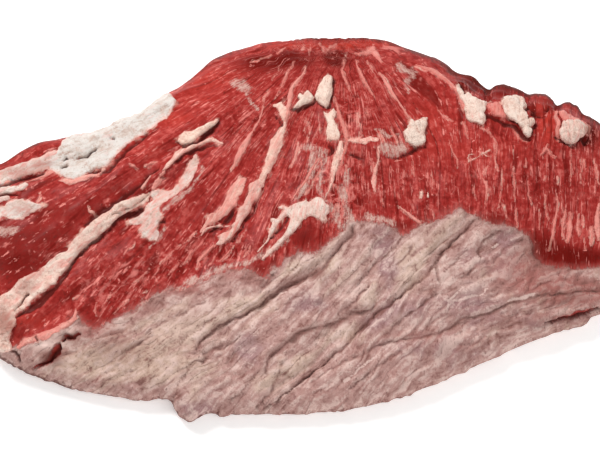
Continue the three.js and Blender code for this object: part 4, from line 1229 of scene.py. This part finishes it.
def lean_colour(make, grain, spot):
    """Red muscle: fibres in bundles, mottled, with deep and bright areas, partly painted shade and painted
    light, and flecks along the grain.
    """
    fibre = make.noise(grain, (0.8, 0.09, 0.35))
    thread = make.noise(grain, (1.5, 0.25, 0.8), offset=71)
    bundle = make.noise(grain, (0.28, 0.035, 0.1))
    mottle = make.noise(spot, 330, detail=3, rough=0.6, bend=0.4)
    cloud = make.noise(spot, 70)
    furrow = make.noise(grain, (0.4, 0.035, 0.2), offset=23, bend=0.5)
    blots = make.noise(spot, 210, offset=31, detail=3, rough=0.65, bend=0.6)
    smear = make.noise(grain, (0.42, 0.07, 0.2), offset=83, detail=3, rough=0.6, bend=0.3)
    dash = make.noise(grain, (0.95, 0.1, 0.3), offset=40, detail=3, rough=0.6, bend=0.2)
    hair = make.noise(grain, (1.1, 0.06, 0.5), offset=9, detail=1, bend=0.2)
    tone = fibre * 0.24 + thread * 0.14 + bundle * 0.15 + mottle * 0.34 + cloud * 0.13
    deep = make.value("deep")
    flecks = make.value("flecks")
    base = make.paint(
        make.mix(tone.step(0.39, 0.5), LEAN_DARK, LEAN),
        (tone.step(0.48, 0.61), LEAN_LIGHT),
        # Painted shade in part: the darker patches and the hidden sides go deep red.
        ((deep * 0.75 + (tone - 0.5) * deep * 3).step(0, 1), LEAN_DEEP),
        # Painted light in part: the lighter patches.
        (make.value("bright") * 0.6, LEAN_BRIGHT),
        (furrow.step(0.45, 0.32) * 0.75, LEAN_DEEP),
        (blots.step(0.5, 0.36) * flecks * 0.7, LEAN_DEEP),
        (blots.step(0.52, 0.66) * flecks * 0.3, FLECK),
        ((smear + flecks * 0.045).step(0.61, 0.75) * 0.6, FLECK))
    thinner = (cloud - 0.5) * 0.3
    dashes = (dash + flecks * 0.035 + thinner).step(0.62, 0.7)
    hairs = (hair + flecks * 0.04 + thinner).step(0.65, 0.73) * mottle.step(0.4, 0.55)
    specks = (mottle + flecks * 0.03).step(0.66, 0.72)
    white = dashes.either(hairs * 0.7).either(specks * 0.8) * (mottle.step(0.3, 0.6) * 0.5 + 0.4)
    return make.mix(white, base, FLECK), fibre * 0.6 + thread * 0.4, white, furrow


def fat_colour(make, grain, spot):
    """Soft white fat: pink to cream, in strands with painted shade in the pits between them."""
    strands = make.noise(grain, (0.8, 0.12, 0.3), offset=5, detail=3, rough=0.65, bend=0.3)
    lobes = make.noise(spot, 430, detail=3, rough=0.6)
    crumbs = make.noise(spot, 1200, rough=0.6)
    mixed = lobes * 0.25 + strands * 0.5 + crumbs * 0.25
    tint = make.value("cream") * 0.6 + (mixed - 0.5) * 3.2
    base = make.paint(
        make.mix(tint.step(-0.3, 0.1), FAT_RED, FAT_PINK),
        (tint.step(0.0, 0.45), FAT_CREAM),
        (tint.step(0.4, 0.8), FAT_WHITE),
        # Painted shade in the pits between the strands.
        (mixed.step(0.44, 0.34) * 0.5, FAT_SHADE))
    return base, mixed


def skin_colour(make, wrinkle, spot):
    """Silverskin: a grey-pink film with cream and mauve areas, creased, and red where it is thin, with
    painted shade in its creases and hollows and painted highlights on their lips and ridges.
    """
    broad = make.noise(wrinkle, (0.2, 0.04, 0.1), rough=0.6, bend=0.4)
    crumple = make.noise(wrinkle, (0.32, 0.18, 0.3), offset=3, detail=3, rough=0.6, bend=1)
    dents = make.noise(spot, 230, detail=4, rough=0.6, bend=0.8)
    fine = make.noise(spot, 900, rough=0.6, bend=0.4)
    cloud = make.noise(spot, 90, rough=0.6)
    folds = make.vector("folds")
    fold = abs(make.part(folds, 1))
    pucker = abs(make.part(folds, 2))
    waver = (fine - 0.5) * 2.4
    across = make.part(folds, 0) + waver * 0.35
    crease = make.value("crease")
    pale = make.value("pale")
    # Painted shade: a dark line in each crease, a wider shade below it and dark lines in the wrinkles'
    # hollows. Painted highlight: a pale lip above each crease.
    cut = abs(across).step(0.9, 0.1) * crease * dents.step(0.4, 0.6)
    lip_highlight = (1 - abs(across - 2.4).step(0.2, 1.8)) * (crease * 4).step(0, 1)
    under = (crease + (dents - 0.5) * 0.9).step(0.2, 0.9)
    line = (fold + waver * 0.04).step(0.12, 0.0) * broad.step(0.4, 0.65)
    tone = broad * 0.14 + crumple * 0.2 + dents * 0.28 + cloud * 0.14 + fine * 0.1
    # Painted light and shade: the wrinkles' crests lighter, their hollows darker.
    tone = tone + fold * 0.07 + pucker * 0.07
    # The ridges are painted creamier: painted light on them.
    creamy = make.value("creamy") + pale * 0.4 + (broad - 0.5) * 1.5
    mauve = make.value("mauve") * 1.3 + (cloud - 0.5) * 1.8
    thin = (make.value("thin") + (crumple - 0.5) * 0.7).step(0, 1.2)
    base = make.paint(
        make.mix(creamy.step(0.1, 0.9), SKIN, SKIN_CREAM),
        (mauve.step(0.1, 0.9) * 0.9, SKIN_MAUVE),
        (thin * 0.85, SKIN_RED),
        # Painted light: paler on the ridges and the wrinkles' crests, with paler spots at random.
        ((tone.step(0.46, 0.56) * 0.75 + pale * 0.15) * (1 - thin * 0.6), SKIN_PALE_AND_LIT),
        # Painted shade in part: darker in the wrinkles' hollows, with darker spots at random.
        (tone.step(0.47, 0.36) * 0.85, SKIN_DARK_AND_SHADE),
        # Painted shade in part: the darker patches darken the silverskin too.
        (make.value("deep") * 0.8, SKIN_DARK_AND_SHADE),
        # Painted light in part: the lighter patches.
        (make.value("bright") * 0.7, SKIN_PALE_AND_LIT),
        # Painted highlight on the lip above each crease.
        (lip_highlight * 0.4, SKIN_PALE_AND_LIT),
        # Painted shade in the wrinkles' hollows and below each crease.
        (line * 0.25 + under * 0.6, SKIN_DARK_AND_SHADE),
        # Painted shade: the dark line in each crease.
        (cut * 0.65, SKIN_CREASE_SHADE),
        ((make.value("thread") + (fine - 0.5) * 2).step(-0.6, 0.4) * 0.8, SKIN_PALE_AND_LIT))
    return base, tone - line * 0.15, cut


def slab_finish():
    """Fat that stands clear: cream or grey, pinker round its edge, with strands and crumbs, and painted
    shade in its creases and gaps.
    """
    make = Finish("beef fat")
    spot = make.place()
    strands = make.noise(make.vector("grain"), (0.8, 0.12, 0.3), offset=5, detail=3, rough=0.65, bend=0.3)
    lobes = make.noise(spot, 350, detail=4, rough=0.65)
    crumbs = make.noise(spot, 1100, detail=3, rough=0.65)
    mixed = lobes * 0.35 + strands * 0.35 + crumbs * 0.3
    pale = (mixed * 0.7 + make.noise(spot, 130) * 0.3).step(0.42, 0.54)
    cream = make.value("cream")
    pink = 0.66 - 0.8 * cream + (strands - 0.5) * 1.1
    edge = (make.value("depth") + (mixed - 0.5) * 5).step(2.4, 0.2)
    base = make.paint(
        make.mix(pale, FAT_CREAM, FAT_WHITE),
        (make.value("grey"), make.mix(pale, FAT_GREY_DARK, FAT_GREY)),
        (pink.step(0, 0.45), FAT_PINK),
        (pink.step(0.4, 0.9), FAT_RED),
        (edge * 0.7, make.mix(cream.step(0.1, 0.6), FAT_RED, FAT_RIM)),
        # Painted shade in the creases between lobes and crumbs.
        (mixed.step(0.48, 0.36) * 0.5, FAT_SHADE),
        # Painted shade in part: the darker patches darken the fat too.
        ((make.value("deep") + (strands - 0.5) * 0.8).step(0.3, 1.5) * 0.8, FAT_SHADE),
        # Painted shadow: dark brown in the gaps and beside the seams and lumps.
        ((make.value("gap") + (crumbs - 0.5) * 3).step(-1.0, 0.6) * 0.8, GAP_AND_SHADOW_BROWN))
    normal = make.bump(lobes * 0.8 + strands * 0.6 + crumbs * 0.8)
    rough = 0.56 + (crumbs - 0.5) * 0.2
    return make.surface(Base_Color=base, Roughness=rough, Normal=normal, Specular_IOR_Level=0.2)


def meat_finish():
    make = Finish("raw beef")
    spot = make.place()
    grain = make.vector("grain")
    lean, fibre, white, furrow = lean_colour(make, grain, spot)
    fat, mixed = fat_colour(make, grain, spot)
    skin, crumple, line = skin_colour(make, make.vector("wrinkle"), spot)
    rag = make.noise(grain, (1.2, 0.2, 0.6), offset=60, detail=3, rough=0.65) - 0.5
    speck = make.noise(spot, 700, offset=60, detail=3, rough=0.65) - 0.5
    skin_depth_here = make.value("skin")
    skin_here = (skin_depth_here + rag * 8 + speck * 9).step(-2.5, 2.5)
    fat_here = (make.value("fat") + rag * 2.2 + speck * 0.9).step(-0.1, 0.8) * 0.85
    film_here = (make.value("film") + rag * 2.4 + (mixed - 0.5) * 4).step(-0.2, 1.0) * 0.75
    base = make.paint(
        lean,
        ((skin_depth_here + rag * 12 + speck * 6).step(-9, 2) * 0.5, SKIN_RED),
        (film_here, make.mix(mixed.step(0.42, 0.58), FILM_DARK, FILM_GREY)),
        (skin_here, skin),
        (fat_here, fat),
        # Painted shadow: dark brown in the gaps and beside the seams and lumps.
        ((make.value("gap") + rag * 2).step(-1.2, 0.8) * 0.8, GAP_AND_SHADOW_BROWN),
        # Painted shade: dark brown along the back and the front outlines.
        ((make.value("rim") + rag * 2.4 + speck * 2).step(0.1, 1.0) * 0.8, RIM_SHADE_BROWN))
    bare = (1 - skin_here) * (1 - fat_here)
    meat_height = bare * (fibre * 0.9 + white * 0.3 + furrow * 0.5)
    skin_height = skin_here * (crumple * 2.6 - line * 0.5)
    normal = make.bump(meat_height + fat_here * (mixed * 1.6 + 0.3) + skin_height)
    rough = 0.44 + 0.14 * fat_here + (fibre - 0.5) * 0.12
    wet = make.value("facing").step(0.35, 0.7) * (1 - 0.7 * fat_here) * 0.06
    return make.surface(
        Base_Color=base, Roughness=rough, Normal=normal, Coat_Weight=wet, Specular_IOR_Level=0.015,
        Coat_Roughness=0.3)


# ---------------------------------------------------------------- build


def build_flap():
    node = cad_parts["sirloin_flap"]
    flap = fine_copy(node, "flap")
    carve(flap)
    flap.data.materials.clear()
    flap.data.materials.append(meat_finish())
    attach(flap, "root")
    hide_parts("sirloin_flap")
    finish = slab_finish()
    for name, slab in SLABS.items():
        lay_slab(flap, name, slab_shape, slab, finish, slab.get("wraps", SLAB_WRAPS))
    lay_slab(flap, "seams", stroke_shape, FAT, finish)


FLOOR_HALF = 3  # metres
WORLD_LIGHT = 0.4
# The lights: where each is, its size in metres and its power in watts.
LIGHTS = {"key": ((-0.7, 0.75, 1.3), 0.6, 22), "fill": ((0.9, -0.9, 1.2), 1.2, 10)}


def build_lights():
    for name, (place, size, power) in LIGHTS.items():
        data = bpy.data.lights.new(name, "AREA")
        data.shape = "DISK"
        data.size = size
        data.energy = power
        light = bpy.data.objects.new(name, data)
        light.location = place
        light.rotation_euler = (-Vector(place)).to_track_quat("-Z", "Y").to_euler()
        bpy.context.scene.collection.objects.link(light)


def build_studio():
    mesh = bpy.data.meshes.new("floor")
    bm = bmesh.new()
    bmesh.ops.create_grid(bm, x_segments=1, y_segments=1, size=FLOOR_HALF)
    bm.to_mesh(mesh)
    bm.free()
    floor = bpy.data.objects.new("floor", mesh)
    bpy.context.scene.collection.objects.link(floor)
    finish = Finish("pale floor").surface(
        Base_Color=colour(250, 250, 249), Roughness=0.9, Emission_Color=colour(255, 255, 255),
        Emission_Strength=0.35)
    mesh.materials.append(finish)
    world = bpy.data.worlds.new("studio")
    world.use_nodes = True
    background = world.node_tree.nodes["Background"].inputs
    background["Color"].default_value = (1, 1, 1, 1)
    background["Strength"].default_value = WORLD_LIGHT
    bpy.context.scene.world = world


def build_camera():
    data = bpy.data.cameras.new("camera")
    data.lens = LENS_MM
    data.sensor_width = SENSOR_MM
    camera = bpy.data.objects.new("camera", data)
    camera.location = EYE
    camera.rotation_euler = (math.pi / 2 - VIEW_ELEVATION, 0, 0)
    bpy.context.scene.collection.objects.link(camera)
    bpy.context.scene.camera = camera


build_camera()
build_flap()
build_studio()
build_lights()
bpy.context.scene.view_settings.view_transform = "Standard"
